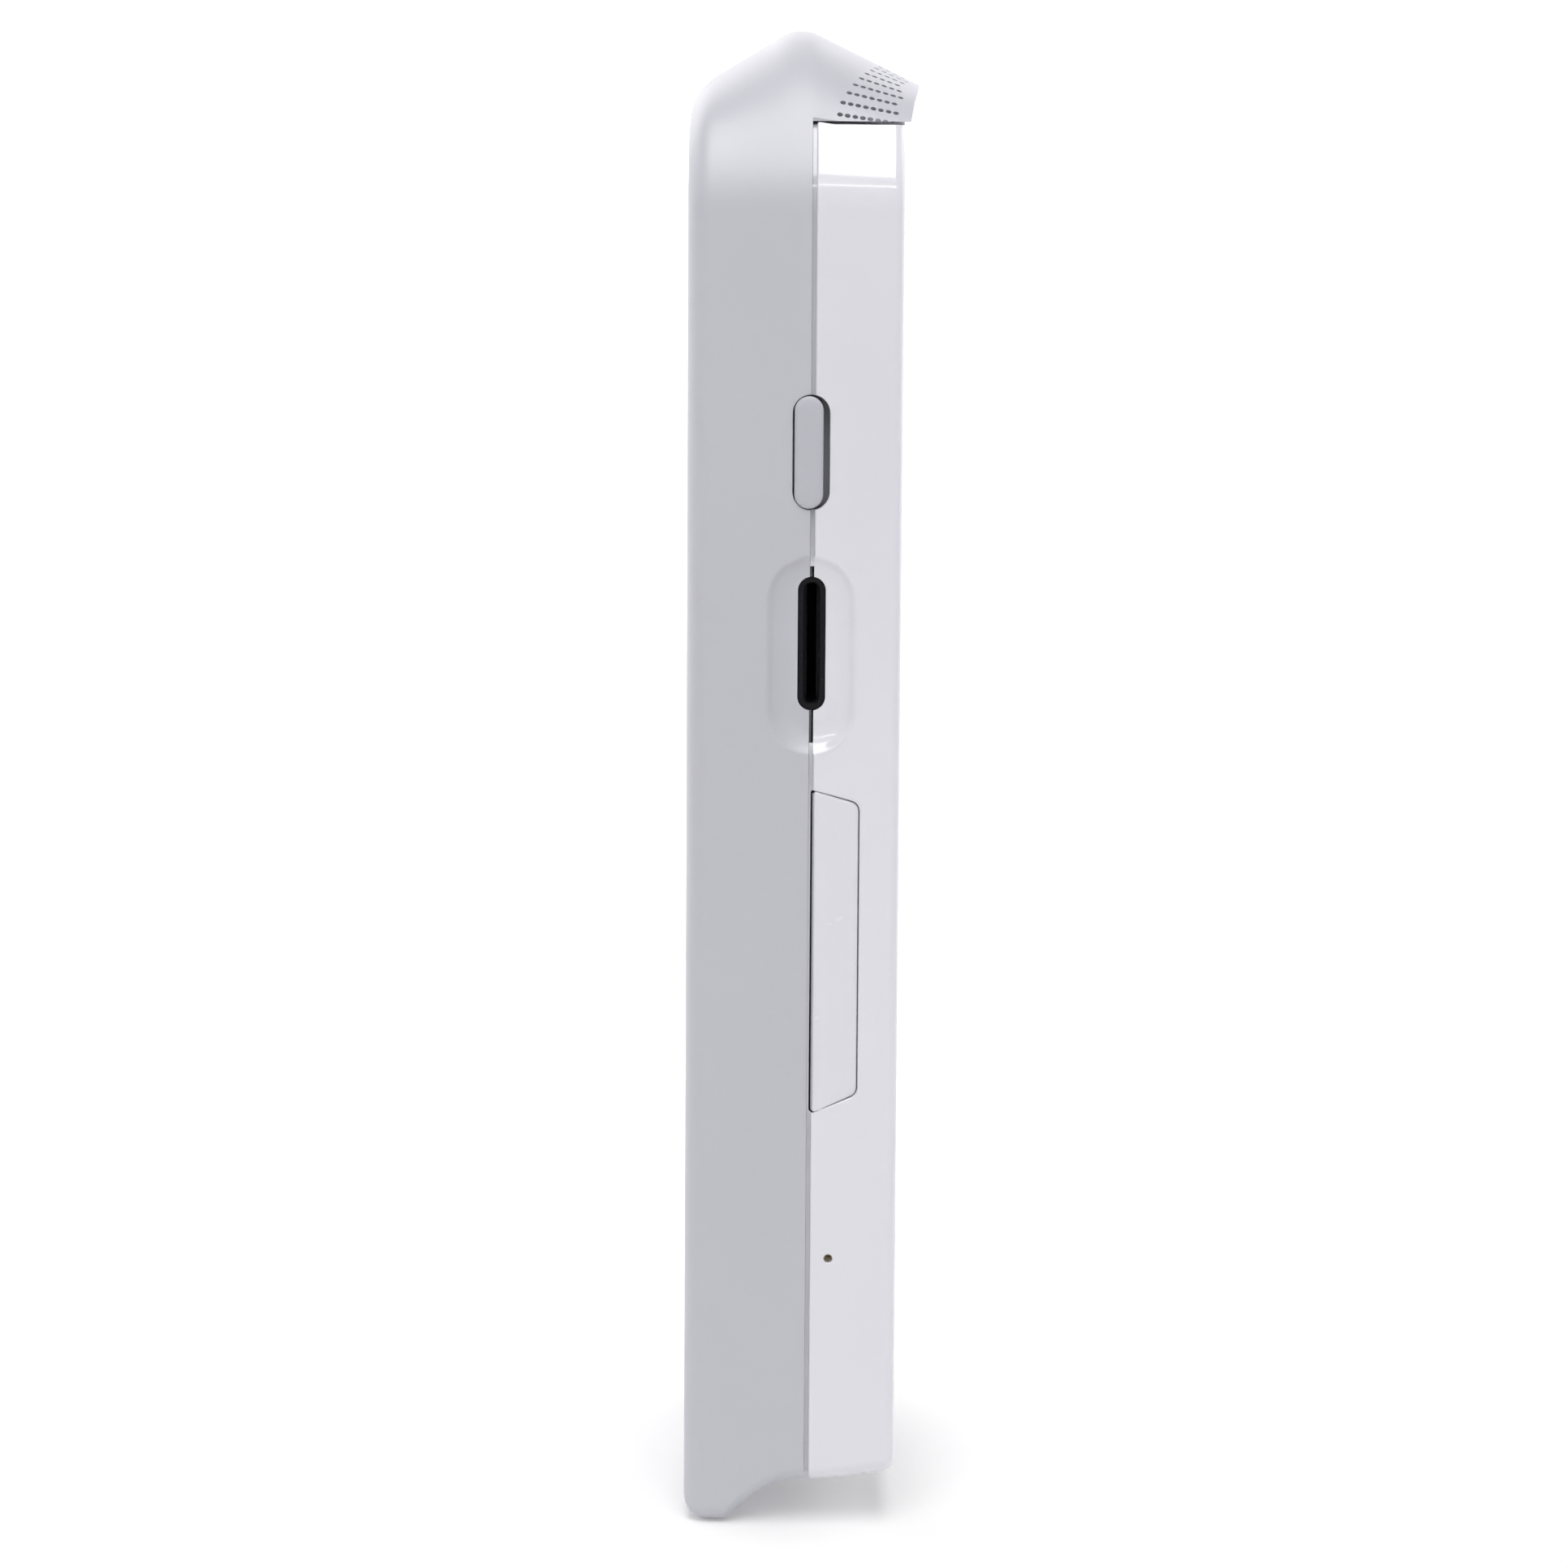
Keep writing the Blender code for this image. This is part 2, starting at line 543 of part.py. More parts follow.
side_cuts = side_cutters()
make_rear_shell(grey_plastic, side_cuts)
make_front_shell(white_plastic, side_cuts)
loft("speaker_grille", grille_rings(GAP, 0.0, 1.2), grey_plastic)
make_seal(dark_rubber)
make_front_parts(
    black_plastic, clear_glass, white_plastic, steel_metal, dark_rubber, light_guide, lens_glass
)
make_side_parts(grey_plastic, white_plastic, black_plastic, steel_metal, brass_metal)
make_inner_parts(board_resin, steel_metal, black_plastic, silver_foil, dark_rubber, paper_cone, brass_metal)
make_bracket(grey_plastic)
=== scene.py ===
"""The looks of a wall-hung video doorbell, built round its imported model.

Shapes are worked out in millimetres as (x, t, z): x across the width, t out from the
wall and z up from the foot. at() puts such a point into the frame, in metres.
"""
import math

import bmesh
import bpy
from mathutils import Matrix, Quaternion, Vector


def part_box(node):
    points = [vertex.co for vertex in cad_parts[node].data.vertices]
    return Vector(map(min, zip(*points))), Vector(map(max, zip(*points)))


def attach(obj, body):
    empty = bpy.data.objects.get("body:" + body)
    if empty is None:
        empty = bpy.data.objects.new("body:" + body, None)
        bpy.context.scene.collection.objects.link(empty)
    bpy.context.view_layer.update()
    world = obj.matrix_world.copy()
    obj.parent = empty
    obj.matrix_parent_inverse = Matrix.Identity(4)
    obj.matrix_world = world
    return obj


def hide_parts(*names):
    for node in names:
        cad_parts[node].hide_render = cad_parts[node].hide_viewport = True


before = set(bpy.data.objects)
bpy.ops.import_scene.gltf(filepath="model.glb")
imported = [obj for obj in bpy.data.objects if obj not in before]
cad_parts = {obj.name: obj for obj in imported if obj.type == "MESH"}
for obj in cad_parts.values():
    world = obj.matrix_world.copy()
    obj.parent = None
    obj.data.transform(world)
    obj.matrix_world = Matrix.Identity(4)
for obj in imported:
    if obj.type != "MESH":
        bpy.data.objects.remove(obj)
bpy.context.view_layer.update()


# ==== The studio ==========================================================
# A pale sweep under and behind the doorbell, one large soft light high on the side
# that is looked at, a thin strip below it, and weak fills in front and behind.

MM = 0.001
low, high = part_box("rear_shell")
FOOT_Z, WALL_Y = low.z, high.y
HEIGHT = (high.z - low.z) / MM


def at(x, t, z):
    return Vector((x * MM, WALL_Y - t * MM, FOOT_Z + z * MM))


VIEW_FROM = 410.0                       # mm from the side that is looked at
VIEW_UP = math.radians(7.5)
VIEW_ROLL = math.radians(0.36)

aim = at(-24.0, 9.17, HEIGHT / 2 + 0.47)
look = Vector((math.cos(VIEW_UP), 0.0, -math.sin(VIEW_UP)))
lens = bpy.data.cameras.new("camera")
lens.lens = 101.1
lens.sensor_width = 36.0
camera = bpy.data.objects.new("camera", lens)
camera.location = aim - look * VIEW_FROM * MM
camera.rotation_mode = "QUATERNION"
camera.rotation_quaternion = look.to_track_quat("-Z", "Y") @ Quaternion((0, 0, 1), VIEW_ROLL)
bpy.context.scene.collection.objects.link(camera)
bpy.context.scene.camera = camera
bpy.context.scene.view_settings.view_transform = "Standard"


def feed(node, **values):
    """Sets a node's properties and inputs, with _ for a space in a name. A socket is linked."""
    for label, value in values.items():
        if hasattr(node, label):
            setattr(node, label, value)
            continue
        socket = node.inputs[label.replace("_", " ")]
        if isinstance(value, bpy.types.NodeSocket):
            node.id_data.links.new(value, socket)
        else:
            socket.default_value = value
    return node


def add(tree, kind, **values):
    return feed(tree.nodes.new(kind), **values)


def new_material(name, **values):
    """A material, its node tree, and its shader with some inputs set."""
    material = bpy.data.materials.new(name)
    material.use_nodes = True
    tree = material.node_tree
    return material, tree, feed(tree.nodes["Principled BSDF"], **values)


def sweep_floor(span=3.0, bend=0.5, steps=16):
    """A floor that curves up into a wall on all sides, as one turned sheet."""
    mesh = bmesh.new()
    reach = [(0.0, 0.0), (span - bend, 0.0)]
    reach += [(span - bend * (1 - math.sin(a)), bend * (1 - math.cos(a)))
              for a in (math.pi / 2 * k / steps for k in range(1, steps + 1))]
    reach.append((span, 2.5))
    path = [mesh.verts.new((r, 0.0, h)) for r, h in reach]
    edges = [mesh.edges.new(pair) for pair in zip(path, path[1:])]
    bmesh.ops.spin(mesh, geom=path + edges, axis=(0, 0, 1), cent=(0, 0, 0), angle=2 * math.pi, steps=64)
    bmesh.ops.remove_doubles(mesh, verts=mesh.verts, dist=1e-5)
    for vert in mesh.verts:
        vert.co.z += FOOT_Z - 0.0002
    bmesh.ops.recalc_face_normals(mesh, faces=mesh.faces)
    data = bpy.data.meshes.new("floor")
    mesh.to_mesh(data)
    mesh.free()
    data.shade_smooth()
    floor = bpy.data.objects.new("floor", data)
    bpy.context.scene.collection.objects.link(floor)
    return floor


PALE = (0.785, 0.785, 0.785, 1.0)
WHITE = (1.0, 1.0, 1.0, 1.0)
floor = sweep_floor()
pale_sweep, sweep_tree, sweep_shader = new_material("pale_sweep", Base_Color=PALE, Roughness=0.9)
floor.data.materials.append(pale_sweep)


def light_up_far_side(tree, shader, start=-0.15, full=0.35, strength=1.0):
    """The sweep behind the doorbell is lit up from behind, so that it reads as plain white."""
    place = add(tree, "ShaderNodeTexCoord").outputs["Object"]
    across = add(tree, "ShaderNodeSeparateXYZ", Vector=place).outputs["X"]
    ramp = add(tree, "ShaderNodeMapRange", interpolation_type="SMOOTHSTEP", Value=across, From_Min=start,
               From_Max=full, To_Min=0.0, To_Max=strength)
    feed(shader, Emission_Color=WHITE, Emission_Strength=ramp.outputs["Result"])


light_up_far_side(sweep_tree, sweep_shader)


def soft_light(name, side, rise, away, size, power):
    """An area light at a bearing from the -X side towards the wall, a rise above level and a distance."""
    turn, lift = math.radians(side), math.radians(rise)
    place = Vector((-math.cos(turn) * math.cos(lift), math.sin(turn) * math.cos(lift), math.sin(lift)))
    light = bpy.data.lights.new(name, "AREA")
    light.shape = "RECTANGLE"
    light.size, light.size_y = size
    light.energy = power
    lamp = bpy.data.objects.new(name, light)
    lamp.location = place * away
    lamp.rotation_mode = "QUATERNION"
    lamp.rotation_quaternion = (-place).to_track_quat("-Z", "Y")
    bpy.context.scene.collection.objects.link(lamp)
    return lamp


soft_light("key_light", 3, 66, 0.8, (0.50, 1.00), 6.5)
soft_light("strip_light", 0, 24.8, 0.98, (0.9, 0.012), 0.45)
soft_light("front_fill", -75, 20, 1.2, (1.0, 1.0), 0.20)
soft_light("back_fill", 150, 35, 1.4, (1.2, 1.0), 1.5)

world = bpy.data.worlds.new("studio")
bpy.context.scene.world = world
world.use_nodes = True
feed(world.node_tree.nodes["Background"], Color=WHITE, Strength=0.10)


# ==== Rear shell ==========================================================
# The moulded back half of the case, in pale lavender grey plastic with a fine
# spark-eroded grain. Its top runs forward over the front half as an arched canopy,
# and ends in a thin lip. The bracket hooks into the shallow recess in its back.

HALF_WIDTH = high.x / MM
PARTING, GROOVE = 11.65, 0.4            # depth of the joint between the shells, and its open width
DRAFT = 0.03
SPRING = 124.0                          # where the straight sides turn into the arched top
CROWN = HEIGHT - SPRING
CREST_REAR, CREST_FRONT = 9.3, 11.4
REAR_FALL, FRONT_FALL = 0.61, 0.49
REAR_RADIUS, FOOT_RADIUS, FRONT_RADIUS = 2.2, 1.5, 1.0
WALL, RIM = 2.4, 1.08
DEPTH = 20.0
CANOPY_HALF, CANOPY_THICK = 20.8, 1.6
CANOPY_SIDE_REACH, CANOPY_BOW = 20.35, 1.35
LIP_TAPER = 1.05                        # how much thinner the canopy gets at its lip
CANOPY_LEVEL = 132.10                   # its lower edge is level where it ends at the sides


def half_width(t):
    return HALF_WIDTH - DRAFT * abs(t - PARTING)


def fall(t):
    """How far the middle of the top is below the crest. Both creases of the crest are eased."""
    def eased(d, soft=0.7):
        return 0.0 if d < -soft else d if d > soft else (d + soft) ** 2 / (4 * soft)
    return REAR_FALL * eased(CREST_REAR - t) + FRONT_FALL * eased(t - CREST_FRONT)


def top(x, t):
    flat = 1 - (x / half_width(t)) ** 2
    return SPRING + CROWN * math.sqrt(flat) - fall(t) * flat


def foot(t):
    low_t, high_t, rise = 3.9, 10.3, 3.9
    if t <= low_t:
        return 0.0
    if t <= high_t:
        return rise * math.sin(math.pi / 2 * (t - low_t) / (high_t - low_t))
    return rise + 0.06 * (t - high_t) + 0.07 * max(t - 14.8, 0)


def body_outline(t, shrink, crown_shrink=None, arch_steps=72, corner_steps=5):
    """The case's outline at a depth, drawn in by shrink: the arch, then the two bottom corners."""
    across = half_width(t) - shrink
    crown = CROWN - (shrink if crown_shrink is None else crown_shrink)
    points = []
    for k in range(arch_steps + 1):
        angle = math.pi * k / arch_steps
        rise = math.sin(angle)
        points.append((across * math.cos(angle), SPRING + crown * rise - fall(t) * rise * rise))
    radius, base = max(FOOT_RADIUS - shrink, 0.4), foot(t) + shrink
    for hub, start in ((-across + radius, math.pi), (across - radius, 1.5 * math.pi)):
        for k in range(corner_steps + 1):
            angle = start + math.pi / 2 * k / corner_steps
            points.append((hub + radius * math.cos(angle), base + radius + radius * math.sin(angle)))
    return points


def quarter_round(radius, steps):
    """(depth, shrink) pairs round an edge, from the flat face to the side."""
    turn = [math.pi / 2 * k / steps for k in range(steps + 1)]
    return [(radius * (1 - math.cos(a)), radius * (1 - math.sin(a))) for a in turn]


def skin(name, rings, closed=False):
    """One solid skinned over rings of (x, t, z) points, with its ends capped unless the rings close."""
    mesh = bmesh.new()
    loops = [[mesh.verts.new(at(*point)) for point in ring] for ring in rings]
    for one, two in list(zip(loops, loops[1:])) + ([(loops[-1], loops[0])] if closed else []):
        for i in range(len(one)):
            j = (i + 1) % len(one)
            mesh.faces.new((one[i], one[j], two[j], two[i]))
    if not closed:
        mesh.faces.new(loops[0])
        mesh.faces.new(loops[-1])
    bmesh.ops.recalc_face_normals(mesh, faces=mesh.faces)
    data = bpy.data.meshes.new(name)
    mesh.to_mesh(data)
    mesh.free()
    piece = bpy.data.objects.new(name, data)
    bpy.context.scene.collection.objects.link(piece)
    return piece


def facing_front(layers):
    return [[(x, t, z) for x, z in flat] for t, flat in layers]


def facing_side(layers):
    """Layers as (sink below the -X side, outline as (t, z)): they follow the side's draft."""
    return [[(sink - half_width(t), t, z) for t, z in flat] for sink, flat in layers]


def facing_up(layers):
    return [[(x, t, z) for x, t in flat] for z, flat in layers]


def settle(piece):
    """Bakes a piece's modifiers into its mesh."""
    data = bpy.data.meshes.new_from_object(piece.evaluated_get(bpy.context.evaluated_depsgraph_get()))
    piece.modifiers.clear()
    spare, piece.data = piece.data, data
    data.name = piece.name
    bpy.data.meshes.remove(spare)
    return piece


def combine(piece, operation, others):
    for other in others:
        step = piece.modifiers.new(other.name, "BOOLEAN")
        step.operation, step.solver, step.object = operation, "EXACT", other
    settle(piece)
    for other in others:
        bpy.data.meshes.remove(other.data)
    return piece


def smooth(piece, material, angle=32.0):
    """Smooth shading with the flat faces kept flat, and the piece's finish."""
    piece.data.shade_smooth()
    piece.data.set_sharp_from_angle(angle=math.radians(angle))
    even = piece.modifiers.new("even", "WEIGHTED_NORMAL")
    even.keep_sharp = True
    settle(piece)
    piece.data.materials.clear()
    piece.data.materials.append(material)
    return piece


def circle(centre, radius, sides=48):
    turn = [2 * math.pi * k / sides for k in range(sides)]
    return [(centre[0] + radius * math.cos(a), centre[1] + radius * math.sin(a)) for a in turn]


def rectangle(centre, size):
    (a, b), (w, h) = centre, (size[0] / 2, size[1] / 2)
    return [(a - w, b - h), (a + w, b - h), (a + w, b + h), (a - w, b + h)]


def stadium(centre, size, grow=0.0, steps=12):
    """A slot shape, widened all round by grow."""
    width, tall = size[0] + 2 * grow, size[1] + 2 * grow
    radius = min(width, tall) / 2
    a, b = max(width / 2 - radius, 0.0), max(tall / 2 - radius, 0.0)
    points = []
    for k in range(4 * steps):
        angle = 2 * math.pi * (k + 0.5) / (4 * steps)
        side, rise = math.copysign(a, math.cos(angle)), math.copysign(b, math.sin(angle))
        across = centre[0] + side + radius * math.cos(angle)
        points.append((across, centre[1] + rise + radius * math.sin(angle)))
    return points


def rounded(corners, radius, steps=8):
    """A polygon with every corner rounded. The corners run anticlockwise."""
    points = []
    for i, (a, b) in enumerate(corners):
        before, after = corners[i - 1], corners[(i + 1) % len(corners)]
        bend = radius[i] if isinstance(radius, tuple) else radius
        lead = math.atan2(b - before[1], a - before[0])
        turn = (math.atan2(after[1] - b, after[0] - a) - lead) % (2 * math.pi)
        back = bend * math.tan(turn / 2)
        start = (a - back * math.cos(lead), b - back * math.sin(lead))
        hub = (start[0] - bend * math.sin(lead), start[1] + bend * math.cos(lead))
        for k in range(steps + 1):
            angle = lead - math.pi / 2 + turn * k / steps
            points.append((hub[0] + bend * math.cos(angle), hub[1] + bend * math.sin(angle)))
    return points


def canopy_reach(x):
    return CANOPY_SIDE_REACH + CANOPY_BOW * (1 - (x / CANOPY_HALF) ** 2)


def arched_rings(across, depths, over, under, level=0.0):
    """Rings front to back, one for each x, over and under the top's surface, with nothing below a level."""
    rings = []
    for i, x in enumerate(across):
        upper = [(x, row[i], top(x, row[i]) + over) for row in depths]
        lower = [(x, row[i], max(top(x, row[i]) - under, level)) for row in depths]
        rings.append(upper + lower[::-1])
    return rings


def spread(half, steps):
    """Positions across the arch, closer together where it turns down at its sides."""
    return [half * math.sin(math.pi * (k / steps - 0.5)) for k in range(steps + 1)]


def front_space(edge, steps=48):
    """What the rear shell leaves free in front of the joint: all but the canopy."""
    across = spread(CANOPY_HALF, steps)
    rings = []
    for t in (edge, 13.0, 15.0, 17.5, 18.8, 19.4, 20.0, 20.6, 23.5):
        thin = CANOPY_THICK - LIP_TAPER * min(max((t - 18.8) / 1.8, 0.0), 1.0)
        arch = [(x, t, max(top(x, min(t, 23.0)) - thin, CANOPY_LEVEL)) for x in across]
        wide = [(40.0, t, 190.0), (40.0, t, -20.0), (-40.0, t, -20.0), (-40.0, t, 190.0)]
        left, right = (-CANOPY_HALF, t, 190.0), (CANOPY_HALF, t, 190.0)
        rings.append([left] + arch + [right] + wide)
    return skin("front_space", rings)


def lip_trim(steps=48):
    """Everything in front of the canopy's bowed lip."""
    across = [-40.0] + spread(CANOPY_HALF, steps) + [40.0]
    reach = [canopy_reach(min(max(x, -CANOPY_HALF), CANOPY_HALF)) for x in across]
    return skin("lip_trim", [
        [(x, r, 100.0), (x, r, 190.0), (x, 40.0, 190.0), (x, 40.0, 100.0)] for x, r in zip(across, reach)])


# ---- the openings across the joint on the -X side: key, card slot, finger scoop ----

key_low, key_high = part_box("power_key")
slot_low, slot_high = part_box("card_slot_bezel")


def side_centre(corner, other):
    """(t, z) of the middle of a box on the -X side."""
    return (WALL_Y - (corner.y + other.y) / 2) / MM, ((corner.z + other.z) / 2 - FOOT_Z) / MM


KEY, KEY_OPENING = side_centre(key_low, key_high), (3.4, 10.6)
SLOT, SLOT_OPENING = side_centre(slot_low, slot_high), (2.6, 12.5)
SCOOP, SCOOP_SIZE = (SLOT[0] - 0.05, SLOT[1] - 1.0), (8.4, 18.5)
SCOOP_DEPTH, SCOOP_SLOPE = 1.0, 2.6     # how deep the scoop is, and how wide its soft flank


def key_and_slot_openings():
    eased = [(0.4, -0.4), (0.14, 0.0), (0.05, 0.04), (0.0, 0.14), (0.0, 3.2)]
    key = skin("key_opening", facing_side([(s, stadium(KEY, KEY_OPENING, g)) for g, s in eased]))
    eased = [(0.0, -0.5), (0.0, 3.2)]
    return [key, skin("slot_opening", facing_side([(s, stadium(SLOT, SLOT_OPENING, g)) for g, s in eased]))]


def side_openings():
    layers = [(-0.5, stadium(SCOOP, SCOOP_SIZE, 0.9, 16)), (-0.03, stadium(SCOOP, SCOOP_SIZE, 0.22, 16))]
    for k in range(1, 13):
        inward = k / 12
        sink = SCOOP_DEPTH * (0.25 * min(4 * inward, 1.0) + 0.75 * math.sin(math.pi / 2 * inward))
        layers.append((sink, stadium(SCOOP, SCOOP_SIZE, -SCOOP_SLOPE * inward, 16)))
    return key_and_slot_openings() + [skin("finger_scoop", facing_side(layers))]


# ---- finishes: a shared grain, a shared tint, and the grey plastic ----


def node_group(name, inputs, outputs):
    """A shader group with its inputs' values and its outputs' kinds, and the sockets of what it is given."""
    group = bpy.data.node_groups.new(name, "ShaderNodeTree")
    for label, value in inputs.items():
        kind = "Float" if isinstance(value, float) else "Vector" if len(value) == 3 else "Color"
        socket = group.interface.new_socket(label, in_out="INPUT", socket_type="NodeSocket" + kind)
        socket.default_value = value
    for label, kind in outputs.items():
        group.interface.new_socket(label, in_out="OUTPUT", socket_type="NodeSocket" + kind)
    return group, group.nodes.new("NodeGroupInput").outputs


def moulded_surface_group():
    """Grain and ripple of a moulded surface, as a normal, with a mask that varies its gloss."""
    group, given = node_group(
        "moulded_surface",
        {"Grain Scale": 9000.0, "Grain Height": 0.25, "Ripple Scale": 120.0, "Ripple Height": 0.1},
        {"Normal": "Vector", "Gloss Mask": "Float"})
    place = add(group, "ShaderNodeTexCoord").outputs["Object"]
    grain = add(group, "ShaderNodeTexNoise", Vector=place, Scale=given["Grain Scale"], Detail=2.0)
    ripple = add(group, "ShaderNodeTexNoise", Vector=place, Scale=given["Ripple Scale"], Detail=3.0)
    wide = add(group, "ShaderNodeBump", Distance=0.0002, Strength=given["Ripple Height"],
               Height=ripple.outputs["Fac"])
    fine = add(group, "ShaderNodeBump", Distance=0.00002, Strength=given["Grain Height"],
               Height=grain.outputs["Fac"], Normal=wide.outputs["Normal"])
    add(group, "NodeGroupOutput", Normal=fine.outputs["Normal"], Gloss_Mask=ripple.outputs["Fac"])
    return group


def cast_tint_group():
    """The slight unevenness of dyed plastic: two close colours in soft clouds, and dust held in the grain."""
    grey = (0.5, 0.5, 0.5, 1.0)
    group, given = node_group(
        "cast_tint", {"Colour": grey, "Cloud Colour": grey, "Dust": 0.1}, {"Colour": "Color"})
    place = add(group, "ShaderNodeTexCoord").outputs["Object"]
    cloud = add(group, "ShaderNodeTexNoise", Vector=place, Scale=38.0, Detail=4.0)
    speck = add(group, "ShaderNodeTexNoise", Vector=place, Scale=2400.0)
    tint = add(group, "ShaderNodeMix", data_type="RGBA", Factor=cloud.outputs["Fac"], A=given["Colour"],
               B=given["Cloud Colour"])
    narrow = add(group, "ShaderNodeMapRange", Value=speck.outputs["Fac"], From_Min=0.66, From_Max=0.80)
    share = add(group, "ShaderNodeMath", operation="MULTIPLY")
    group.links.new(narrow.outputs["Result"], share.inputs[0])
    group.links.new(given["Dust"], share.inputs[1])
    dusty = add(group, "ShaderNodeMix", data_type="RGBA", Factor=share.outputs["Value"],
                A=tint.outputs["Result"], B=(0.62, 0.61, 0.58, 1.0))
    add(group, "NodeGroupOutput", Colour=dusty.outputs["Result"])
    return group


MOULDED, TINT = moulded_surface_group(), cast_tint_group()


def plastic(name, colour, cloud, gloss, grain, ripple, dust=0.08, coat=0.0, specular=0.5):
    """A moulded plastic. gloss is its roughness range, grain and ripple are each a scale and a height."""
    material, tree, shader = new_material(
        name, Coat_Weight=coat, Coat_Roughness=0.06, Specular_IOR_Level=specular)
    surface = add(tree, "ShaderNodeGroup", node_tree=MOULDED, Grain_Scale=grain[0], Grain_Height=grain[1],
                  Ripple_Scale=ripple[0], Ripple_Height=ripple[1])
    tint = add(tree, "ShaderNodeGroup", node_tree=TINT, Colour=(*colour, 1.0), Cloud_Colour=(*cloud, 1.0),
               Dust=dust)
    vary = add(tree, "ShaderNodeMapRange", Value=surface.outputs["Gloss Mask"], From_Min=0.3, From_Max=0.7,
               To_Min=gloss[0], To_Max=gloss[1])
    feed(shader, Roughness=vary.outputs["Result"], Base_Color=tint.outputs["Colour"],
         Normal=surface.outputs["Normal"])
    return material


shell_grey = plastic("shell_grey", (0.485, 0.482, 0.530), (0.515, 0.512, 0.560), (0.36, 0.44), (9000.0, 0.3),
                     (90.0, 0.05), specular=0.75)

EDGE = PARTING - GROOVE / 2


def make_rear_shell():
    depths = [3.0, 3.9, 4.6, 5.5, 6.5, 7.5, 8.2, 8.8, 9.4, 10.0, 10.6, 11.0, 11.6, 12.2, 13.5, 15.5, 17.5,
              19.5, 22.5]
    outer = [(t, body_outline(t, s)) for t, s in quarter_round(REAR_RADIUS, 8)]
    outer += [(t, body_outline(t, 0.0)) for t in depths]
    shell = skin("rear_case", facing_front(outer))
    combine(shell, "DIFFERENCE", [lip_trim(), front_space(EDGE)])
    inside = [(t, body_outline(t, WALL, arch_steps=36)) for t in (EDGE + 0.6, CREST_REAR, 6.5)]
    inside.append((4.4, body_outline(4.4, WALL + 0.5, arch_steps=36)))
    hollow = skin("hollow", facing_front(inside))
    rim = skin("rim", facing_front([(t, body_outline(EDGE, RIM)) for t in (EDGE + 0.6, EDGE - 1.0)]))
    depths = [[t] * 25 for t in (EDGE - 1.4, EDGE + 1.0)]
    root = skin("canopy_root", arched_rings(spread(CANOPY_HALF, 24), depths, 2.0, CANOPY_THICK))
    combine(rim, "DIFFERENCE", [root])
    combine(shell, "DIFFERENCE", [hollow, rim])
    bracket_low, bracket_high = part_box("wall_bracket")
    z_low, z_high = (bracket_low.z - FOOT_Z) / MM - 6.5, (bracket_high.z - FOOT_Z) / MM + 0.3
    recess = rounded(rectangle((0.0, (z_low + z_high) / 2), (36.0, z_high - z_low)), 6.0)
    reach = (bracket_high.x - bracket_low.x) / MM + 0.6
    cutters = [skin("recess", facing_front([(-1.0, recess), (2.8, recess)]))]
    for z in (44.0, 88.0):
        under = rectangle((0.0, z), (reach, 12.6))
        entry = rectangle((0.0, z - 3.0), (reach, 6.6))
        cutters.append(skin("hook_groove", facing_front([(1.1, under), (2.75, under)])))
        cutters.append(skin("hook_entry", facing_front([(-1.1, entry), (2.7, entry)])))
    for side in (-1, 1):
        for z in (9.5, 117.5):
            bore = [(-1.0, 2.3), (3.2, 2.3), (3.2, 1.2), (13.0, 1.2)]
            layers = [(t, circle((side * 17.5, z), r, 32)) for t, r in bore]
            cutters.append(skin("screw_bore", facing_front(layers)))
    combine(shell, "DIFFERENCE", cutters + side_openings())
    return shell


rear_case = make_rear_shell()


# ==== Speaker grille ======================================================
# The perforated field of the canopy over the speaker: rows of fine holes that run
# front to back, closer to the lip in the middle. A plate of the same grey plastic,
# welded flush into the canopy, and the first row on each side is in the shell itself.

GRILLE_HALF, GRILLE_REAR, GRILLE_BOW = 19.6, 13.4, 4.4
FIRST_HOLE = 0.55                       # from the field's rear edge to the first hole of a row
LIP_MARGIN = 1.15                       # from the last hole to the lip
HOLE_STEP, HOLE_RADIUS = 0.7, 0.27
ROW_STEP = math.radians(5.26)           # round the arch


def new_tree(name, **kinds):
    """A geometry tree with its inputs' kinds, and the sockets of what it is given."""
    tree = bpy.data.node_groups.new(name, "GeometryNodeTree")
    for label, kind in kinds.items():
        tree.interface.new_socket(label.replace("_", " "), in_out="INPUT", socket_type="NodeSocket" + kind)
    tree.interface.new_socket("Geometry", in_out="OUTPUT", socket_type="NodeSocketGeometry")
    return tree, tree.nodes.new("NodeGroupInput").outputs


def sum_of(tree, operation, *values):
    """A math node's result. Each value is a number or a socket."""
    node = tree.nodes.new("ShaderNodeMath")
    node.operation = operation
    for socket, value in zip(node.inputs, values):
        if isinstance(value, bpy.types.NodeSocket):
            tree.links.new(value, socket)
        else:
            socket.default_value = value
    return node.outputs["Value"]


def finish_tree(tree, given, instances):
    """Realises what was instanced, gives it its material and sends it out."""
    real = add(tree, "GeometryNodeRealizeInstances", Geometry=instances)
    paint = add(tree, "GeometryNodeSetMaterial", Geometry=real.outputs["Geometry"],
                Material=given["Material"])
    add(tree, "NodeGroupOutput", Geometry=paint.outputs["Geometry"])
    return tree


def grown(name, tree, values):
    """A piece that is made wholly by a node tree, its inputs set by their identifiers."""
    piece = bpy.data.objects.new(name, bpy.data.meshes.new(name))
    bpy.context.scene.collection.objects.link(piece)
    step = piece.modifiers.new(name, "NODES")
    step.node_group = tree
    for socket in tree.interface.items_tree:
        if socket.in_out == "INPUT":
            step[socket.identifier] = values[socket.name]
    return settle(piece)


